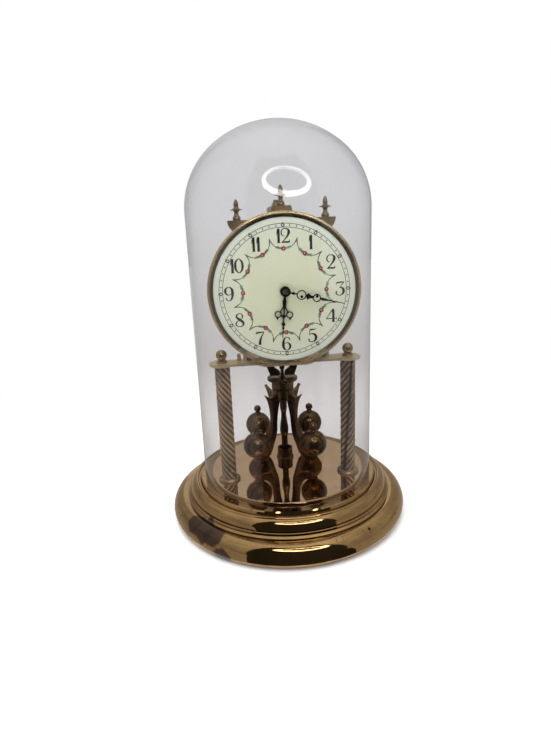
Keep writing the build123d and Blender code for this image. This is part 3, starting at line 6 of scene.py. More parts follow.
import json
import random
from math import cos, hypot, pi, radians, sin

import bmesh
import bpy
from mathutils import Matrix, Vector

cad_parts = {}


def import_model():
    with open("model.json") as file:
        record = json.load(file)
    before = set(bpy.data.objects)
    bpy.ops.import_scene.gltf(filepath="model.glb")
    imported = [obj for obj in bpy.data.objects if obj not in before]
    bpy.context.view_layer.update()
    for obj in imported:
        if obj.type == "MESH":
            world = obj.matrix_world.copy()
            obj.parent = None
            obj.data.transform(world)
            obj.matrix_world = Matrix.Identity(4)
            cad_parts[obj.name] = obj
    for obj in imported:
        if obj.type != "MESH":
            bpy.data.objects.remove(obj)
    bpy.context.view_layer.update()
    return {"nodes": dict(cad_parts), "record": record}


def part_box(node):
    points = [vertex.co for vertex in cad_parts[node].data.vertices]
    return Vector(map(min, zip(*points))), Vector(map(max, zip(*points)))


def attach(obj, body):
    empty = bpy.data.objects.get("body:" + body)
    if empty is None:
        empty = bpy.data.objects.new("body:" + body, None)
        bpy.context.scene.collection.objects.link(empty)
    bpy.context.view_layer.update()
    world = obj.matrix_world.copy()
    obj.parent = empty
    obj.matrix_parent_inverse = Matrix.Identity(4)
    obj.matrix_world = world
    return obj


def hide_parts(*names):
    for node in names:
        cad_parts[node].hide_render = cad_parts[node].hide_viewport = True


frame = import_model()
nodes = frame["nodes"]

MM = 0.001
draw = random.Random(7)


# ---------------------------------------------------------------- places read from the frame
def middle(node):
    """Middle of a CAD node's box."""
    low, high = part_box(node)
    return (low + high) / 2


dial_centre = middle("dial")
dial_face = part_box("dial")[0].y
dial_front = (dial_centre.x, dial_face, dial_centre.z)
base_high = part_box("base_shell")[1]


def new_piece(name, points, faces, material):
    """Mesh object in the scene."""
    mesh = bpy.data.meshes.new(name)
    mesh.from_pydata(points, [], faces)
    mesh.materials.append(material)
    piece = bpy.data.objects.new(name, mesh)
    bpy.context.scene.collection.objects.link(piece)
    return piece


# ---------------------------------------------------------------- shader building
WOBBLE_SCALE = 130
HOLLOW_SAMPLES = 6


class Tree:
    """Node tree of a material or world, with short ways to add what the ones here repeat."""

    def __init__(self, owner, output="OutputMaterial", place="Object"):
        self.owner = owner
        owner.use_nodes = True
        self.nodes = owner.node_tree.nodes
        self.links = owner.node_tree.links
        self.nodes.clear()
        self.output = self.add(output)
        self.place = self.add("TexCoord").outputs[place]

    def fill(self, socket, value):
        """Sets a socket to a value, or links another node's output to it."""
        if isinstance(value, bpy.types.NodeSocket):
            self.links.new(value, socket)
        elif socket.type == "RGBA":
            socket.default_value = (*value, 1)
        else:
            socket.default_value = value

    def add(self, kind, **inputs):
        """New node; each input is a value or another node's output."""
        node = self.nodes.new("ShaderNode" + kind)
        for name, value in inputs.items():
            self.fill(node.inputs[name.replace("_", " ")], value)
        return node

    def height(self):
        """Z of the place."""
        return self.add("SeparateXYZ", Vector=self.place).outputs["Z"]

    def noise(self, scale, detail=3.0, stretch=(1, 1, 1), distortion=0.0):
        """Noise over the object, its scale in features per metre."""
        mapping = self.add("Mapping", Vector=self.place, Scale=stretch)
        vector = mapping.outputs["Vector"]
        node = self.add("TexNoise", Vector=vector, Scale=scale, Detail=detail, Distortion=distortion)
        return node.outputs["Fac"]

    def ramp(self, factor, *stops):
        """Colours over a factor, from (position, colour) stops."""
        node = self.add("ValToRGB", Fac=factor)
        elements = node.color_ramp.elements
        while len(elements) < len(stops):
            elements.new(0.5)
        for element, (position, colour) in zip(elements, stops):
            element.position = position
            element.color = (*colour, 1)
        return node.outputs["Color"]

    def levels(self, factor, low, high, at_low=0.0, at_high=1.0):
        """A factor from low to high spread over at_low to at_high."""
        node = self.add("MapRange", Value=factor, From_Min=low, From_Max=high, To_Min=at_low, To_Max=at_high)
        return node.outputs["Result"]

    def mix(self, factor, first, second):
        """Second colour over the first."""
        node = self.nodes.new("ShaderNodeMix")
        node.data_type = "RGBA"
        for socket, value in zip((node.inputs[0], node.inputs[6], node.inputs[7]), (factor, first, second)):
            self.fill(socket, value)
        return node.outputs[2]

    def maths(self, operation, first, second):
        """One operation on two numbers."""
        node = self.nodes.new("ShaderNodeMath")
        node.operation = operation
        self.fill(node.inputs[0], first)
        self.fill(node.inputs[1], second)
        return node.outputs["Value"]

    def vector_maths(self, operation, first, second, result="Vector"):
        """One operation on two vectors."""
        node = self.nodes.new("ShaderNodeVectorMath")
        node.operation = operation
        self.fill(node.inputs[0], first)
        self.fill(node.inputs[1], second)
        return node.outputs[result]

    def distance(self, point):
        """Distance of the place from a point."""
        return self.vector_maths("DISTANCE", self.place, point, "Value")

    def near(self, point, radius, softness, wobble=0.0):
        """1 within radius of a point and 0 outside it, its edge broken up by noise."""
        distance = self.distance(point)
        if wobble:
            shift = self.levels(self.noise(WOBBLE_SCALE), 0.3, 0.7, -wobble, wobble)
            distance = self.maths("ADD", distance, shift)
        return self.levels(distance, radius, radius + softness, 1.0, 0.0)

    def seam(self, low, high, half_width):
        """1 along a line that rises from one point to another, and 0 beside it."""
        height = self.height()
        across = [self.levels(height, low[2], high[2], low[axis], high[axis]) for axis in (0, 1)]
        line = self.add("CombineXYZ", X=across[0], Y=across[1], Z=height)
        distance = self.distance(line.outputs["Vector"])
        return self.levels(distance, half_width, 2 * half_width, 1.0, 0.0)

    def bump(self, height, strength, depth):
        """Normals of a fine relief."""
        return self.add("Bump", Strength=strength, Distance=depth, Height=height).outputs["Normal"]

    def hollow(self, reach):
        """Ambient occlusion for painted shade: 0 deep in hollows and 1 on open faces."""
        node = self.add("AmbientOcclusion", Distance=reach)
        node.samples = HOLLOW_SAMPLES
        node.only_local = True
        return node.outputs["AO"]

    def background_rays(self):
        """1 for the rays that see the plain white background, and 0 for those that light the clock."""
        seen = self.add("LightPath").outputs
        shows = self.maths("MAXIMUM", seen["Is Camera Ray"], seen["Is Glossy Ray"])
        return self.maths("MAXIMUM", shows, seen["Is Transmission Ray"])

    def blend(self, factor, first, second):
        """Mix of two shaders."""
        node = self.add("MixShader", Fac=factor)
        self.links.new(first.outputs[0], node.inputs[1])
        self.links.new(second.outputs[0], node.inputs[2])
        return node

    def finish(self, shader):
        """Puts a shader on the output."""
        self.links.new(shader.outputs[0], self.output.inputs["Surface"])
        return self.owner


def material_tree(name):
    """Node tree of a new material."""
    return Tree(bpy.data.materials.new(name))


# ---------------------------------------------------------------- materials
STAIN = (0.045, 0.024, 0.018)
# Colour of the painted shade in the brass's hollows, and of one small dirt spot on the base.
SHADE_AND_GRIME = (0.030, 0.019, 0.009)
TARNISH = (0.080, 0.052, 0.042)
SEAM = (0.012, 0.011, 0.013)
PATCH_COVER = 0.93
DIAL_RIM = 40 * MM
GLASS_GLOSS = 0.042
GLASS_BLUR = (0.01, 0.05)
GLASS_EDGE_POWER = 5.0
GLASS_FOOT = (0.750, 0.738, 0.734)
GLASS_TOP = (0.835, 0.835, 0.845)
GLASS_FOOT_HEIGHT = 100 * MM
GLASS_TOP_HEIGHT = 180 * MM
GLASS_EDGE = (0.66, 0.66, 0.67)
GLASS_INSIDE = (0.99, 0.99, 0.99)
GLASS_MIRROR = (0.84, 0.84, 0.85)
DOME_MIDDLE = (0.0, 0.0, 120 * MM)


def brass(
    name, bright, dull, shine, stain, hollow_shade=0.0, reach=1.5 * MM, patches=(), seams=(), metal=1.0, strands=None
):
    """Aged brass: bright and dull clouds, stain specks, painted shade in the hollows and fine scratches.

    patches are (point, radius, softness, wobble, tint), seams are (low, high, half width), and strands is the
    colour of painted shade in the grooves of a rope, which its mesh attribute "crest" tells apart.
    """
    tree = material_tree(name)
    clouds = tree.noise(45, detail=6.0, distortion=0.4)
    colour = tree.mix(tree.levels(clouds, 0.38, 0.62), dull, bright)
    specks = tree.noise(420, detail=4.0)
    colour = tree.mix(tree.levels(specks, 0.64, 0.72, 0.0, stain), colour, STAIN)
    for point, radius, softness, wobble, tint in patches:
        mask = tree.near(point, radius, softness, wobble)
        colour = tree.mix(tree.maths("MULTIPLY", mask, PATCH_COVER), colour, tint)
    # Painted shade: the rope's grooves take the strands colour, and its crests keep the brass.
    if strands:
        crest = tree.add("Attribute")
        crest.attribute_name = "crest"
        colour = tree.mix(tree.levels(crest.outputs["Fac"], 0.25, 0.8), strands, colour)
    for low, high, half_width in seams:
        colour = tree.mix(tree.seam(low, high, half_width), colour, SEAM)
    # Painted shade: darker where ambient occlusion finds a hollow.
    if hollow_shade:
        shade_amount = tree.levels(tree.hollow(reach), 0.35, 0.95, hollow_shade, 0.0)
        colour = tree.mix(shade_amount, colour, SHADE_AND_GRIME)
    scratches = tree.noise(900, detail=5.0, stretch=(1, 1, 6))
    dulling = tree.maths("ADD", clouds, tree.maths("MULTIPLY", scratches, 0.5))
    roughness = tree.levels(dulling, 0.5, 1.0, *shine)
    normal = tree.bump(scratches, 0.06, 0.1 * MM)
    return tree.finish(
        tree.add("BsdfPrincipled", Base_Color=colour, Metallic=metal, Roughness=roughness, Normal=normal)
    )


def steel(name, colour):
    """Bright or blued steel with a fine brushed grain."""
    tree = material_tree(name)
    grain = tree.noise(700, detail=4.0, stretch=(1, 1, 8))
    dark = tuple(value * 0.7 for value in colour)
    tint = tree.mix(tree.levels(grain, 0.3, 0.7), dark, colour)
    roughness = tree.levels(grain, 0.3, 0.7, 0.2, 0.4)
    normal = tree.bump(grain, 0.05, 0.1 * MM)
    return tree.finish(
        tree.add("BsdfPrincipled", Base_Color=tint, Metallic=1.0, Roughness=roughness, Normal=normal)
    )


def enamel():
    """Cream dial enamel, mintier and paler towards its rim; the paler rim is partly a painted highlight."""
    tree = material_tree("dial_enamel")
    radius = tree.distance(dial_front)
    colour = tree.ramp(
        tree.levels(radius, 0.0, DIAL_RIM),
        (0.0, (0.86, 0.90, 0.60)),
        (0.55, (0.87, 0.91, 0.65)),
        # The outer stops: the enamel's own mint tint, lightened as a painted highlight on the rim.
        (0.84, (0.87, 0.92, 0.74)),
        (1.0, (0.88, 0.94, 0.82)),
    )
    cloud = tree.levels(tree.noise(60, detail=5.0), 0.3, 0.7, 0.0, 0.12)
    colour = tree.mix(cloud, colour, (0.62, 0.66, 0.42))
    fine = tree.noise(1500)
    roughness = tree.levels(fine, 0.3, 0.7, 0.26, 0.36)
    normal = tree.bump(fine, 0.04, 0.05 * MM)
    return tree.finish(tree.add("BsdfPrincipled", Base_Color=colour, Roughness=roughness, Normal=normal))


def ink(name, fresh, worn):
    """Printed ink, a little uneven."""
    tree = material_tree(name)
    patchy = tree.noise(1600)
    tint = tree.mix(tree.levels(patchy, 0.35, 0.7), fresh, worn)
    roughness = tree.levels(patchy, 0.3, 0.7, 0.35, 0.5)
    return tree.finish(tree.add("BsdfPrincipled", Base_Color=tint, Roughness=roughness))


def black_lacquer():
    """Black hands: gloss lacquer with a faint orange peel."""
    tree = material_tree("hand_black")
    fine = tree.noise(1200)
    colour = tree.mix(tree.levels(fine, 0.35, 0.7), (0.008, 0.008, 0.010), (0.02, 0.02, 0.025))
    roughness = tree.levels(fine, 0.3, 0.7, 0.18, 0.3)
    normal = tree.bump(fine, 0.05, 0.05 * MM)
    return tree.finish(tree.add("BsdfPrincipled", Base_Color=colour, Roughness=roughness, Normal=normal))


def outer_wall(tree):
    """1 on the dome's outer face and 0 on its inner one, which turns its normal to the middle."""
    from_middle = tree.vector_maths("SUBTRACT", tree.place, DOME_MIDDLE)
    shape = tree.add("NewGeometry").outputs
    outward = tree.vector_maths("DOT_PRODUCT", from_middle, shape["Normal"], "Value")
    side = tree.levels(shape["Backfacing"], 0.0, 1.0, 1.0, -1.0)
    return tree.maths("GREATER_THAN", tree.maths("MULTIPLY", outward, side), 0.0)


def glass():
    """Thin clear glass: see-through, its outer face tinted more towards the foot and where seen edge on."""
    tree = material_tree("glass")
    facing = tree.add("LayerWeight", Blend=0.5).outputs["Facing"]
    steep = tree.maths("POWER", facing, GLASS_EDGE_POWER)
    outer = outer_wall(tree)
    rise = tree.levels(tree.height(), GLASS_FOOT_HEIGHT, GLASS_TOP_HEIGHT)
    wall_tint = tree.mix(rise, GLASS_FOOT, GLASS_TOP)
    tint = tree.mix(outer, GLASS_INSIDE, tree.mix(steep, wall_tint, GLASS_EDGE))
    clear = tree.add("BsdfTransparent", Color=tint)
    smears = tree.noise(30, detail=5.0, stretch=(1, 1, 0.4))
    roughness = tree.levels(smears, 0.35, 0.7, *GLASS_BLUR)
    gloss = tree.add("BsdfGlossy", Color=GLASS_MIRROR, Roughness=roughness)
    mirror = tree.levels(tree.maths("MULTIPLY", steep, outer), 0.0, 1.0, GLASS_GLOSS, 1.0)
    return tree.finish(tree.blend(mirror, clear, gloss))


def at(x, y, z):
    """Point given in millimetres."""
    return (x * MM, y * MM, z * MM)


base_patches = (
    (at(-57.0, -39.0, 13.0), 5.0 * MM, 1.2 * MM, 1.6 * MM, TARNISH),
    (at(-52.0, -46.0, 13.0), 6.5 * MM, 1.2 * MM, 1.8 * MM, TARNISH),
    (at(-46.5, -53.0, 12.0), 5.5 * MM, 1.2 * MM, 1.6 * MM, TARNISH),
    (at(-43.0, -59.5, 4.0), 4.5 * MM, 1.5 * MM, 1.6 * MM, TARNISH),
    (at(39.6, -58.5, 12.7), 0.7 * MM, 0.5 * MM, 0.2 * MM, SHADE_AND_GRIME),
)
# Painted shade: a dark band on the bezel's inner slope, within 40.1 mm of the dial's centre.
bezel_inner_shade = ((dial_front, 40.1 * MM, 0.25 * MM, 0.0, (0.085, 0.072, 0.055)),)
right_column = middle("column_right")
column_seam = (
    (
        (right_column.x - 3.0 * MM, right_column.y - 3.2 * MM, base_high.z),
        (right_column.x + 1.6 * MM, right_column.y - 4.1 * MM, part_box("column_right")[1].z),
        0.6 * MM,
    ),
)

brasses = {
    # The hollow amounts in these looks paint shade into creases and grooves.
    "base_brass": dict(
        bright=(0.47, 0.295, 0.125), dull=(0.35, 0.22, 0.095), shine=(0.015, 0.07),
        stain=0.5, hollow_shade=0.7, reach=1.2 * MM, patches=base_patches,
    ),
    "floor_brass": dict(bright=(0.86, 0.60, 0.35), dull=(0.78, 0.52, 0.28), shine=(0.015, 0.05), stain=0.6),
    "dark_brass": dict(
        bright=(0.26, 0.17, 0.085), dull=(0.11, 0.070, 0.036), shine=(0.16, 0.32), stain=0.3, hollow_shade=0.5
    ),
    "column_brass": dict(
        bright=(0.42, 0.30, 0.18), dull=(0.20, 0.125, 0.060), shine=(0.2, 0.34),
        stain=0.3, hollow_shade=0.6, reach=0.9 * MM, metal=0.6,
    ),
    "frame_brass": dict(
        bright=(0.42, 0.32, 0.19), dull=(0.26, 0.185, 0.105), shine=(0.26, 0.42),
        stain=0.5, hollow_shade=0.5, metal=0.85,
    ),
    "plate_brass": dict(
        bright=(0.76, 0.60, 0.38), dull=(0.60, 0.46, 0.28), shine=(0.3, 0.44),
        stain=0.4, hollow_shade=0.4, metal=0.5,
    ),
    "nut_brass": dict(
        bright=(0.62, 0.49, 0.27), dull=(0.44, 0.34, 0.18), shine=(0.10, 0.2),
        stain=0.4, hollow_shade=0.5, metal=0.95,
    ),
    "bezel_brass": dict(
        bright=(0.86, 0.68, 0.36), dull=(0.58, 0.43, 0.26), shine=(0.16, 0.28),
        stain=0.4, patches=bezel_inner_shade, metal=0.75,
    ),
    "wheel_brass": dict(bright=(0.62, 0.44, 0.19), dull=(0.5, 0.34, 0.14), shine=(0.18, 0.36), stain=0.2),
    # The rope's strands colour is painted shade in its grooves.
    "rope_brass": dict(
        bright=(0.66, 0.47, 0.28), dull=(0.27, 0.205, 0.15), shine=(0.2, 0.34),
        stain=0.3, seams=column_seam, metal=0.6, strands=(0.075, 0.058, 0.046),
    ),
}
materials = {name: brass(name, **looks) for name, looks in brasses.items()}
materials["steel"] = steel("steel", (0.42, 0.41, 0.40))
materials["spring_steel"] = steel("spring_steel", (0.16, 0.18, 0.23))
materials["dial_enamel"] = enamel()
materials["hand_black"] = black_lacquer()
materials["glass"] = glass()
inks = {
    "numeral_ink": ((0.010, 0.012, 0.016), (0.035, 0.04, 0.045)),
    "track_ink": ((0.02, 0.024, 0.026), (0.07, 0.08, 0.08)),
    "vine_ink": ((0.07, 0.075, 0.055), (0.17, 0.17, 0.12)),
    "leaf_ink": ((0.27, 0.50, 0.38), (0.40, 0.62, 0.50)),
    "shade_ink": ((0.20, 0.26, 0.20), (0.34, 0.38, 0.30)),
    "rose_ink": ((0.45, 0.07, 0.075), (0.56, 0.13, 0.13)),
    "petal_ink": ((0.80, 0.40, 0.38), (0.85, 0.52, 0.48)),
    "ochre_ink": ((0.62, 0.38, 0.10), (0.70, 0.48, 0.18)),
}
for name, (fresh, worn) in inks.items():
    materials[name] = ink(name, fresh, worn)

for part in frame["record"]["subparts"]:
    mesh = nodes[part["node"]].data
    mesh.materials.clear()
    mesh.materials.append(materials[part["material_slot"]])
for node, material in (("platform", "plate_brass"), ("front_plate", "plate_brass"), ("ball_nuts", "nut_brass")):
    nodes[node].data.materials[0] = materials[material]


# ---------------------------------------------------------------- the rope columns' strands
STRANDS = 8
STRAND_LEAD = 32 * MM
STRAND_CREST = 4.5 * MM
STRAND_DEPTH = 0.95 * MM
GROOVE_SHARPNESS = 1.6
STRAND_SIDES = 16
LEVEL_STEP = 0.36 * MM
ROPE_BORE = 2 * MM
ROPE_SHARP_ANGLE = radians(60)


def grid_faces(rows, columns, closed=False):
    """Quads of a grid of rows by columns of points."""
    faces = []
    for row in range(rows if closed else rows - 1):
        after = (row + 1) % rows
        for column in range(columns if closed else columns - 1):
            beside = (column + 1) % columns
            corners = ((row, column), (after, column), (after, beside), (row, beside))
            faces.append([across * columns + along for across, along in corners])
    return faces


def rope(node, hand):
    """Hollow column of round strands that stands for a CAD column; hand is 1 or -1."""
    low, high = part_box(node)
    centre = (low + high) / 2
    height = high.z - low.z
    around_count = STRANDS * STRAND_SIDES
    levels = round(height / LEVEL_STEP)
    # lobes is 1 on a strand's crest and 0 in a groove; the material paints shade into the grooves from it.
    lobes = [abs(sin(pi * step / STRAND_SIDES)) for step in range(around_count)]
    wall = [STRAND_CREST - STRAND_DEPTH * (1 - lobe) ** GROOVE_SHARPNESS for lobe in lobes]
    rings = [(height * level / levels, wall, lobes) for level in range(levels + 1)]
    rings += [(rise, [ROPE_BORE] * around_count, [1.0] * around_count) for rise in (height, 0.0)]
    points, crests = [], []
    for rise, radii, marks in rings:
        twist = hand * 2 * pi * rise / STRAND_LEAD
        for step, radius in enumerate(radii):
            turn = 2 * pi * step / around_count + twist
            points.append((centre.x + radius * cos(turn), centre.y + radius * sin(turn), low.z + rise))
        crests += marks
    faces = grid_faces(len(rings), around_count, closed=True)
    piece = new_piece(node + "_rope", points, faces, materials["rope_brass"])
    mesh = piece.data
    shape = bmesh.new()
    shape.from_mesh(mesh)
    bmesh.ops.recalc_face_normals(shape, faces=shape.faces)
    shape.to_mesh(mesh)
    shape.free()
    mesh.attributes.new("crest", "FLOAT", "POINT").data.foreach_set("value", crests)
    mesh.shade_smooth()
    mesh.set_sharp_from_angle(angle=ROPE_SHARP_ANGLE)
    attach(piece, "frame")
    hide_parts(node)


rope("column_left", -1)
rope("column_right", 1)


# ---------------------------------------------------------------- the dial's print
PRINT_THICKNESS = 0.03 * MM
LEAF_POINTS = 12
LEAF_TAPER = 0.35


def smooth(points, steps=8, closed=False):
    """Catmull-Rom curve through points of any number of values."""
    count = len(points)
    spans = count if closed else count - 1
    result = []
    for span in range(spans):
        ends = [span - 1, span, span + 1, span + 2]
        if closed:
            a, b, c, d = (points[index % count] for index in ends)
        else:
            a, b, c, d = (points[min(max(index, 0), count - 1)] for index in ends)
        for step in range(steps):
            t = step / steps
            result.append(tuple(
                0.5 * (2 * q + (r - p) * t + (2 * p - 5 * q + 4 * r - s) * t**2 + (3 * q - p - 3 * r + s) * t**3)
                for p, q, r, s in zip(a, b, c, d)
            ))
    if not closed:
        result.append(tuple(points[-1]))
    return result


class Print:
    """Thin raised print on the dial's face, drawn in millimetres from the dial's centre."""

    def __init__(self, name, material, layer=0):
        self.name = name
        self.material = materials[material]
        self.lift = layer * PRINT_THICKNESS / 2
        self.points = []
        self.faces = []

    def slab(self, outline):
        """Flat piece inside an outline, its rim closed down to the dial."""
        first = len(self.points)
        count = len(outline)
        front = dial_face - PRINT_THICKNESS - self.lift
        for depth in (front, dial_face + PRINT_THICKNESS):
            for x, z in outline:
                self.points.append((dial_centre.x + x * MM, depth, dial_centre.z + z * MM))
        self.faces.append([first + index for index in range(count)])
        self.faces.append([first + count + index for index in reversed(range(count))])
        for index in range(count):
            after = (index + 1) % count
            self.faces.append([first + after, first + index, first + count + index, first + count + after])

    def stroke(self, path, closed=False):
        """Line of changing width along (x, z, half width) points, in slabs end to end."""
        count = len(path)
        sides = []
        for index, (x, z, half) in enumerate(path):
            before = path[index - 1] if index or closed else path[index]
            after = path[(index + 1) % count] if index < count - 1 or closed else path[index]
            across = (after[1] - before[1], before[0] - after[0])
            length = hypot(*across) or 1.0
            nx, nz = (value / length * half for value in across)
            sides.append(((x - nx, z - nz), (x + nx, z + nz)))
        spans = count if closed else count - 1
        for index in range(spans):
            (a, b), (c, d) = sides[index], sides[(index + 1) % count]
            self.slab([a, c, d, b])

    def disc(self, x, z, radius, sides=16):
        """Round dot."""
        turns = [2 * pi * index / sides for index in range(sides)]
        self.slab([(x + radius * sin(turn), z + radius * cos(turn)) for turn in turns])

    def leaf(self, x, z, length, width, angle):
        """Pointed oval."""
        outline = []
        for index in range(LEAF_POINTS):
            turn = 2 * pi * index / LEAF_POINTS
            along = length / 2 * cos(turn)
            side = width / 2 * sin(turn) * (1 - LEAF_TAPER * cos(turn))
            outline.append((
                x + along * cos(angle) - side * sin(angle),
                z + along * sin(angle) + side * cos(angle),
            ))
        self.slab(outline[::-1])

    def make(self):
        """The print's mesh, riding with the dial."""
        piece = new_piece(self.name, self.points, self.faces, self.material)
        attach(piece, "frame")


# Digits: widths and strokes of (x, y, half width), in units of the digit's height. Bars are straight, strokes are
# smoothed and loops are smoothed and closed.
STEM = 0.088
BOWL = [(0.56, 0.79, 0.05), (0.5, 0.93, 0.032), (0.34, 0.99, 0.026), (0.15, 0.86, 0.06), (0.075, 0.5, 0.095)]
BOWL += [(0.11, 0.18, 0.085), (0.31, 0.015, 0.026), (0.53, 0.13, 0.06), (0.585, 0.33, 0.085)]
BOWL += [(0.5, 0.52, 0.05), (0.32, 0.58, 0.026), (0.15, 0.46, 0.022)]
EIGHT = [(0.32, 0.985, 0.028), (0.13, 0.89, 0.05), (0.11, 0.72, 0.07), (0.31, 0.54, 0.09), (0.53, 0.36, 0.085)]
EIGHT += [(0.57, 0.17, 0.06), (0.32, 0.015, 0.028), (0.06, 0.14, 0.045), (0.06, 0.31, 0.045)]
EIGHT += [(0.25, 0.49, 0.028), (0.47, 0.62, 0.028), (0.53, 0.79, 0.05), (0.47, 0.93, 0.032)]
ZERO = [(0.31, 0.985, 0.028), (0.1, 0.78, 0.07), (0.055, 0.5, 0.085), (0.1, 0.22, 0.07)]
ZERO += [(0.31, 0.015, 0.028), (0.52, 0.22, 0.07), (0.565, 0.5, 0.085), (0.52, 0.78, 0.07)]
digits = {
    "0": {"width": 0.62, "loops": [ZERO]},
    "1": {
        "width": 0.3,
        "bars": [[(0.17, 0.995, STEM), (0.17, 0.06, STEM)], [(0.17, 0.07, STEM), (0.17, 0.0, 0.125)]],
        "strokes": [[(0.13, 0.96, 0.04), (0.075, 0.78, 0.035), (0.03, 0.53, 0.012)]],
    },
    "2": {
        "width": 0.66,
        "strokes": [
            [(0.27, 0.47, 0.02), (0.1, 0.54, 0.035), (0.04, 0.73, 0.045), (0.12, 0.92, 0.035), (0.33, 0.985, 0.03),
             (0.53, 0.9, 0.065), (0.575, 0.73, 0.095), (0.5, 0.52, 0.07), (0.3, 0.26, 0.04), (0.07, 0.03, 0.028)],
            [(0.05, 0.03, 0.03), (0.3, 0.06, 0.06), (0.6, 0.05, 0.055)],
            [(0.6, 0.04, 0.05), (0.61, 0.13, 0.03), (0.62, 0.24, 0.012)],
        ],
    },
    "3": {
        "width": 0.66,
        "strokes": [
            [(0.09, 0.92, 0.05), (0.36, 0.95, 0.05), (0.63, 0.965, 0.035)],
            [(0.09, 0.92, 0.035), (0.07, 0.82, 0.02), (0.07, 0.75, 0.008)],
            [(0.62, 0.96, 0.03), (0.46, 0.76, 0.026), (0.32, 0.58, 0.026)],
            [(0.28, 0.56, 0.02), (0.44, 0.57, 0.045), (0.58, 0.43, 0.09), (0.58, 0.2, 0.085), (0.4, 0.03, 0.035),
             (0.18, 0.03, 0.032), (0.06, 0.14, 0.045), (0.06, 0.26, 0.05), (0.13, 0.31, 0.03)],
        ],
    },
    "4": {
        "width": 0.82,
        "bars": [
            [(0.55, 0.99, 0.05), (0.55, 0.85, STEM), (0.55, 0.05, STEM)],
            [(0.55, 0.06, STEM), (0.55, 0.0, 0.14)],
        ],
        "strokes": [
            [(0.53, 0.97, 0.05), (0.26, 0.6, 0.03), (0.03, 0.27, 0.03)],
            [(0.02, 0.265, 0.035), (0.4, 0.27, 0.03), (0.78, 0.27, 0.03)],
            [(0.78, 0.19, 0.02), (0.79, 0.36, 0.02)],
        ],
    },
    "5": {
        "width": 0.66,
        "strokes": [
            [(0.13, 0.93, 0.055), (0.36, 0.95, 0.05), (0.6, 0.98, 0.02)],
            [(0.14, 0.93, 0.03), (0.12, 0.74, 0.026), (0.1, 0.56, 0.022)],
            [(0.1, 0.56, 0.02), (0.3, 0.64, 0.04), (0.53, 0.52, 0.085), (0.58, 0.3, 0.095), (0.48, 0.1, 0.06),
             (0.27, 0.015, 0.03), (0.1, 0.07, 0.04), (0.05, 0.19, 0.05), (0.12, 0.25, 0.03)],
        ],
    },
    "6": {"width": 0.66, "strokes": [BOWL]},
    "7": {
        "width": 0.64,
        "strokes": [
            [(0.04, 0.91, 0.055), (0.3, 0.93, 0.055), (0.62, 0.97, 0.025)],
            [(0.04, 0.93, 0.03), (0.025, 0.83, 0.02), (0.02, 0.74, 0.008)],
            [(0.61, 0.96, 0.025), (0.43, 0.62, 0.05), (0.31, 0.3, 0.085), (0.28, 0.01, 0.1)],
        ],
    },
    "8": {"width": 0.64, "loops": [EIGHT]},
    "9": {"width": 0.66, "strokes": [[(0.64 - x, 1 - y, half) for x, y, half in BOWL]]},
}
DIGIT_HEIGHT = 7.5
NUMERAL_CIRCLE = 29.1
SIDE_NUMERAL_CIRCLE = 30.0
DIGIT_SPACING = {"10": 0.02, "11": 0.04, "12": 0.02}


def draw_digit(page, digit, x, z, height):
    """One digit, its lower left corner at x and z."""

    def placed(path):
        return [(x + px * height, z + py * height, half * height) for px, py, half in path]

    shape = digits[digit]
    for path in shape.get("bars", ()):
        page.stroke(placed(path))
    for path in shape.get("strokes", ()):
        page.stroke(placed(smooth(path)))
    for path in shape.get("loops", ()):
        page.stroke(placed(smooth(path, closed=True)), closed=True)


def numerals():
    """Hour numerals, all upright."""
    page = Print("dial_numerals", "numeral_ink")
    for hour in range(1, 13):
        text = str(hour)
        gap = DIGIT_SPACING.get(text, 0.0)
        width = sum(digits[digit]["width"] for digit in text) + gap * (len(text) - 1)
        circle = SIDE_NUMERAL_CIRCLE if hour in (3, 9) else NUMERAL_CIRCLE
        turn = radians(30 * hour)
        left = circle * sin(turn) - width / 2 * DIGIT_HEIGHT
        bottom = circle * cos(turn) - DIGIT_HEIGHT / 2
        for digit in text:
            draw_digit(page, digit, left, bottom, DIGIT_HEIGHT)
            left += (digits[digit]["width"] + gap) * DIGIT_HEIGHT
    page.make()


TRACK_INNER = 33.5
TRACK_OUTER = 35.4
TRACK_LINE = 0.15
TRACK_STEPS = 120
TICK_REACH = 0.45
DIAMOND = ((0.0, -1.0), (0.8, 0.0), (0.0, 1.1), (-0.8, 0.0))
DIAMOND_LINE = 0.32


def around(angle, radius, turn=0.0, out=0.0):
    """Point at a small distance from a place on a circle, along it and outwards."""
    spot = radians(angle)
    x = (radius + out) * sin(spot) + turn * cos(spot)
    z = (radius + out) * cos(spot) - turn * sin(spot)
    return x, z


def minute_track():
    """Two thin circles with ticks between them, and an open diamond at each five minutes."""
    page = Print("dial_minute_track", "track_ink")
    for radius in (TRACK_INNER, TRACK_OUTER):
        circle = [(*around(360 / TRACK_STEPS * step, radius), TRACK_LINE) for step in range(TRACK_STEPS)]
        page.stroke(circle, closed=True)
    middle_circle = (TRACK_INNER + TRACK_OUTER) / 2
    for minute in range(60):
        angle = 6 * minute
        if minute % 5:
            inner = (*around(angle, middle_circle, out=-TICK_REACH), 0.2)
            outer = (*around(angle, middle_circle, out=TICK_REACH), 0.3)
            page.stroke([inner, outer])
        else:
            ring = [(*around(angle, middle_circle, turn, out), DIAMOND_LINE) for turn, out in DIAMOND]
            page.stroke(ring, closed=True)
            page.disc(*around(angle, middle_circle, out=1.05), 0.42)
    page.make()


SWAG_DEPTH = 22.6
CUSP_RADIUS = 28.9
# Half a swag from its cusp to its lowest point: (angle, radius, half width)
HALF_SWAG = (
    (15.0, CUSP_RADIUS, 0.16), (14.3, 27.0, 0.26), (12.6, 25.2, 0.2),
    (9.6, 23.8, 0.15), (5.0, 22.9, 0.11), (0.0, SWAG_DEPTH, 0.09),
)
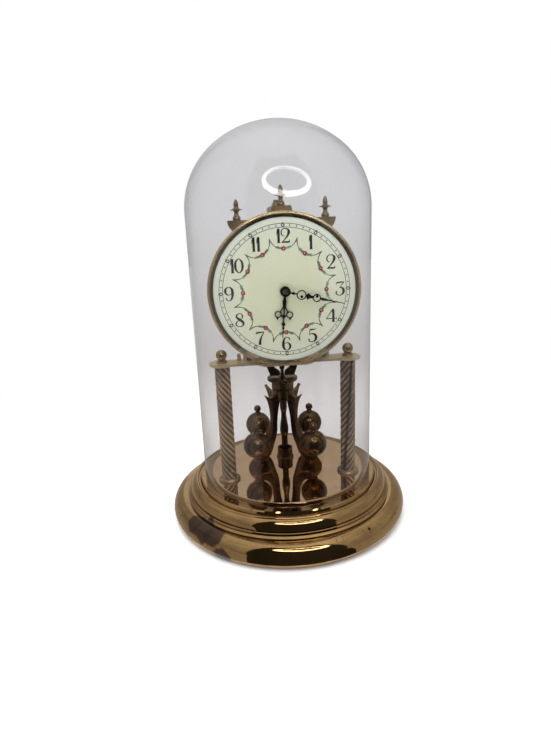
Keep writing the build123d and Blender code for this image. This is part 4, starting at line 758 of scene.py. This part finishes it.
# Leaves on each side of a rose: (angle from it, rise above the vine)
LEAVES = ((2.9, 0.25), (4.4, -0.3), (6.0, 0.3), (7.5, 0.0), (9.2, 0.2))
SHADED_LEAVES = (0, 2, 3)
SWAG_CURVE = 0.012
BUD_ANGLE = 5.4
BUD_SIZE = 0.28
PETALS = 5
PETAL_REACH = 0.68
PETAL_SIZE = 0.66
TIP_ANGLES = (15, -45, 165)


def garland():
    """Twelve swags of vine, each with leaves and a rose, meeting in outward cusps."""
    vine = Print("dial_vines", "vine_ink", layer=1)
    leaves = Print("dial_leaves", "leaf_ink", layer=2)
    shades = Print("dial_leaf_shades", "shade_ink", layer=3)
    roses = Print("dial_roses", "rose_ink", layer=4)
    petals = Print("dial_petals", "petal_ink", layer=5)
    tips = Print("dial_tips", "ochre_ink", layer=2)
    swag = [(-angle, radius, half) for angle, radius, half in HALF_SWAG]
    swag += reversed(HALF_SWAG[:-1])
    swag = smooth(swag, steps=6)
    for hour in range(12):
        centre = 30 * hour
        vine.stroke([(*around(centre + angle, radius), half) for angle, radius, half in swag])
        for side in (-1, 1):
            for place, (offset, rise) in enumerate(LEAVES):
                angle = centre + side * offset
                radius = SWAG_DEPTH + rise + SWAG_CURVE * offset**2
                lean = 1 if place % 2 else -1
                tilt = radians(-centre - side * offset) + lean * draw.uniform(0.7, 1.4)
                size = draw.uniform(1.5, 2.0)
                leaves.leaf(*around(angle, radius, 0.0, lean * 0.3), size, size * 0.6, tilt)
                if place in SHADED_LEAVES:
                    spot = around(angle, radius, draw.uniform(-0.3, 0.3), draw.uniform(-0.35, 0.35))
                    shades.leaf(*spot, 1.1, 0.42, tilt + side * draw.uniform(0.6, 1.3))
            bud = around(centre + side * BUD_ANGLE, SWAG_DEPTH, 0.0, draw.uniform(-0.2, 0.7))
            roses.disc(*bud, BUD_SIZE, sides=8)
        x, z = around(centre, SWAG_DEPTH)
        for petal in range(PETALS):
            turn = radians(360 / PETALS * petal + centre)
            roses.disc(x + PETAL_REACH * sin(turn), z + PETAL_REACH * cos(turn), PETAL_SIZE)
        petals.disc(x + draw.uniform(-0.15, 0.15), z + draw.uniform(-0.1, 0.2), 0.42)
    for cusp in TIP_ANGLES:
        tips.disc(*around(cusp, CUSP_RADIUS), BUD_SIZE)
    for page in (vine, leaves, shades, roses, petals, tips):
        page.make()


numerals()
minute_track()
garland()


# ---------------------------------------------------------------- shading of the carried-over parts
SHARP_ANGLE = radians(32)
for node in nodes.values():
    node.data.shade_smooth()
    node.data.set_sharp_from_angle(angle=SHARP_ANGLE)


# ---------------------------------------------------------------- studio
FLOOR_HALF = 6.0
FADE_START = 0.16
FADE_WIDTH = 0.22
PAPER = (0.93, 0.93, 0.93)
WHITE = (1, 1, 1)
SKY_STRENGTH = 1.45
SKY_LEVELS = ((0.0, 0.55), (0.35, 0.5), (0.75, 0.85), (1.0, 1.0))


def floor():
    """Pale floor that keeps the clock's shadow and runs out to plain white."""
    points = [(x * FLOOR_HALF, y * FLOOR_HALF, 0) for x, y in ((-1, -1), (1, -1), (1, 1), (-1, 1))]
    tree = material_tree("floor_white")
    paper = tree.add("BsdfDiffuse", Color=PAPER)
    white = tree.add("Emission", Color=WHITE, Strength=1.0)
    far = tree.maths("SUBTRACT", 1.0, tree.near((0, 0, 0), FADE_START, FADE_WIDTH))
    away = tree.maths("MULTIPLY", far, tree.background_rays())
    material = tree.finish(tree.blend(away, paper, white))
    piece = new_piece("floor", points, [(0, 1, 2, 3)], material)


def world():
    """Soft even light from all round, a little stronger from above; white behind the clock."""
    sky = bpy.data.worlds.new("studio")
    bpy.context.scene.world = sky
    tree = Tree(sky, "OutputWorld", "Generated")
    colour = tree.ramp(tree.height(), *((position, (level,) * 3) for position, level in SKY_LEVELS))
    light = tree.add("Background", Color=colour, Strength=SKY_STRENGTH)
    white = tree.add("Background", Color=WHITE)
    tree.finish(tree.blend(tree.background_rays(), light, white))


def lamp_above(place, target, size, power):
    """Square lamp that faces a point and isn't mirrored."""
    lamp = bpy.data.lights.new("lamp_above", "AREA")
    lamp.size = size
    lamp.energy = power
    piece = bpy.data.objects.new("lamp_above", lamp)
    bpy.context.scene.collection.objects.link(piece)
    piece.location = place
    piece.rotation_euler = (Vector(target) - Vector(place)).to_track_quat("-Z", "Y").to_euler()
    piece.visible_glossy = False


def mirrored_piece(name, points, faces, material):
    """Piece of the studio that only metal and glass show, as a reflection."""
    piece = new_piece(name, points, faces, material)
    piece.visible_camera = False
    piece.visible_diffuse = False
    piece.visible_transmission = False
    piece.visible_shadow = False
    return piece


def glow(name, colour, strength):
    """Evenly shining material."""
    tree = material_tree(name)
    return tree.finish(tree.add("Emission", Color=colour, Strength=strength))


RING_STEPS = 96
RING_TUBE_STEPS = 10
RING_THINNING = 0.35
CARD_STEPS = 24


def ring_lamp(place, radius, height, thickness, strength):
    """Round ring lamp above the camera, a little lower than wide and thicker below."""
    points = []
    for step in range(RING_STEPS):
        turn = 2 * pi * step / RING_STEPS
        tube = thickness * (1 - RING_THINNING * sin(turn))
        for side in range(RING_TUBE_STEPS):
            roll = 2 * pi * side / RING_TUBE_STEPS
            swell = tube * cos(roll)
            points.append(((radius + swell) * cos(turn), tube * sin(roll), (height + swell) * sin(turn)))
    faces = grid_faces(RING_STEPS, RING_TUBE_STEPS, closed=True)
    material = glow("ring_light", (1.0, 0.99, 0.97), strength)
    mirrored_piece("ring_lamp", points, faces, material).location = place


def card(name, material, place_at):
    """Card for reflections, its points a function of the shares along and across it."""
    shares = [step / CARD_STEPS for step in range(CARD_STEPS + 1)]
    points = [place_at(along, across) for along in shares for across in shares]
    mirrored_piece(name, points, grid_faces(len(shares), len(shares)), material)


def bearing_point(bearing, out, height):
    """Point at a bearing from the front, counted to the right."""
    turn = radians(bearing)
    return out * sin(turn), -out * cos(turn), height


def dome_card(name, material, distance, bearings, rises):
    """Card bent round the clock, between two bearings from the front and two elevations."""

    def place_at(along, across):
        bearing = bearings[0] + (bearings[1] - bearings[0]) * along
        rise = radians(rises[0] + (rises[1] - rises[0]) * across)
        return bearing_point(bearing, distance * cos(rise), distance * sin(rise))

    card(name, material, place_at)


FLOOR_CARD_GAP = 0.3 * MM
FLOOR_CARD_LIFT = 0.6 * MM


# The dark and brown floor cards are painted shade of the floor near the base, seen in reflections.
def floor_card(name, material, bearings, far, lift=FLOOR_CARD_LIFT, narrowing=0.0):
    """Card just above the floor from the base outwards, between two bearings, narrower close to the base."""
    start = base_high.x + FLOOR_CARD_GAP
    middle_bearing = (bearings[0] + bearings[1]) / 2

    def place_at(along, across):
        out = start + (far - start) * across**2
        share = (along - 0.5) * (1 - narrowing * start / out)
        return bearing_point(middle_bearing + (bearings[1] - bearings[0]) * share, out, lift)

    card(name, material, place_at)


SIDE_DISTANCE = 2.0
CAMERA_CARD_DISTANCE = 0.80
CAMERA_BEARINGS = (-42, 44)
SIDE_BEARINGS = (-160, 160)
BACK_BEARINGS = (160, 200)
FLOOR_SIDE_BEARINGS = (-150, 150)
FLOOR_BACK_BEARINGS = (150, 210)


def surround():
    """Grey cards round the sides and overhead and dark ones towards the camera, for the metal and glass; the dark
    and brown floor cards are painted shade of the floor near the base.
    """
    tree = material_tree("card_grey")
    rise = tree.levels(tree.height(), 0.0, SIDE_DISTANCE)
    level = tree.ramp(rise, (0.0, (0.36, 0.35, 0.34)), (0.5, (0.42, 0.41, 0.40)), (1.0, (0.85, 0.84, 0.82)))
    cloud = tree.levels(tree.noise(1.2, detail=2.0), 0.35, 0.65, 0.8, 1.2)
    grey = tree.finish(tree.add("Emission", Color=level, Strength=cloud))
    dark = glow("card_dark", (1.0, 0.93, 0.82), 0.035)
    brown = glow("card_floor_shade", (0.46, 0.43, 0.40), 1.0)
    pale = glow("card_pale", (0.74, 0.74, 0.75), 1.0)
    dome_card("side_cards", grey, SIDE_DISTANCE, SIDE_BEARINGS, (-0.5, 90))
    dome_card("back_card", pale, SIDE_DISTANCE, BACK_BEARINGS, (-0.5, 60))
    dome_card("camera_card", dark, CAMERA_CARD_DISTANCE, CAMERA_BEARINGS, (0.2, 72))
    # Painted shade of the floor round the base, seen only in reflections: dark in front, brown at the sides.
    floor_card("front_floor_card", dark, CAMERA_BEARINGS, 1.2, lift=1.0 * MM, narrowing=0.42)
    floor_card("side_floor_card", brown, FLOOR_SIDE_BEARINGS, SIDE_DISTANCE)
    floor_card("back_floor_card", pale, FLOOR_BACK_BEARINGS, SIDE_DISTANCE)


CAMERA_PLACE = Vector((-25.72, -308.93, 179.78)) * MM
CAMERA_DIRECTION = (0.0647, 0.9605, -0.2706)
CAMERA_ROLL = -0.041
SENSOR_WIDTH = 36.0
FOCAL_LENGTH = 34.13


def camera():
    """Camera at the photograph's viewing angle, tilted a little to one side."""
    forward = Vector(CAMERA_DIRECTION).normalized()
    right = forward.cross(Vector((0, 0, 1))).normalized()
    up = right.cross(forward)
    level_right = right * cos(CAMERA_ROLL) + up * sin(CAMERA_ROLL)
    level_up = up * cos(CAMERA_ROLL) - right * sin(CAMERA_ROLL)
    lens = bpy.data.cameras.new("camera")
    lens.sensor_fit = "HORIZONTAL"
    lens.sensor_width = SENSOR_WIDTH
    lens.lens = FOCAL_LENGTH
    lens.clip_start = 0.01
    piece = bpy.data.objects.new("camera", lens)
    bpy.context.scene.collection.objects.link(piece)
    turn = Matrix((level_right, level_up, -forward)).transposed()
    piece.matrix_world = Matrix.Translation(CAMERA_PLACE) @ turn.to_4x4()
    bpy.context.scene.camera = piece


floor()
world()
lamp_above(place=(-0.15, -0.25, 1.0), target=(0, 0, 0.1), size=0.7, power=6.0)
ring_lamp(place=(0.046, -0.290, 0.419), radius=0.157, height=0.140, thickness=0.0145, strength=8.0)
surround()
camera()
bpy.context.scene.view_settings.view_transform = "Standard"
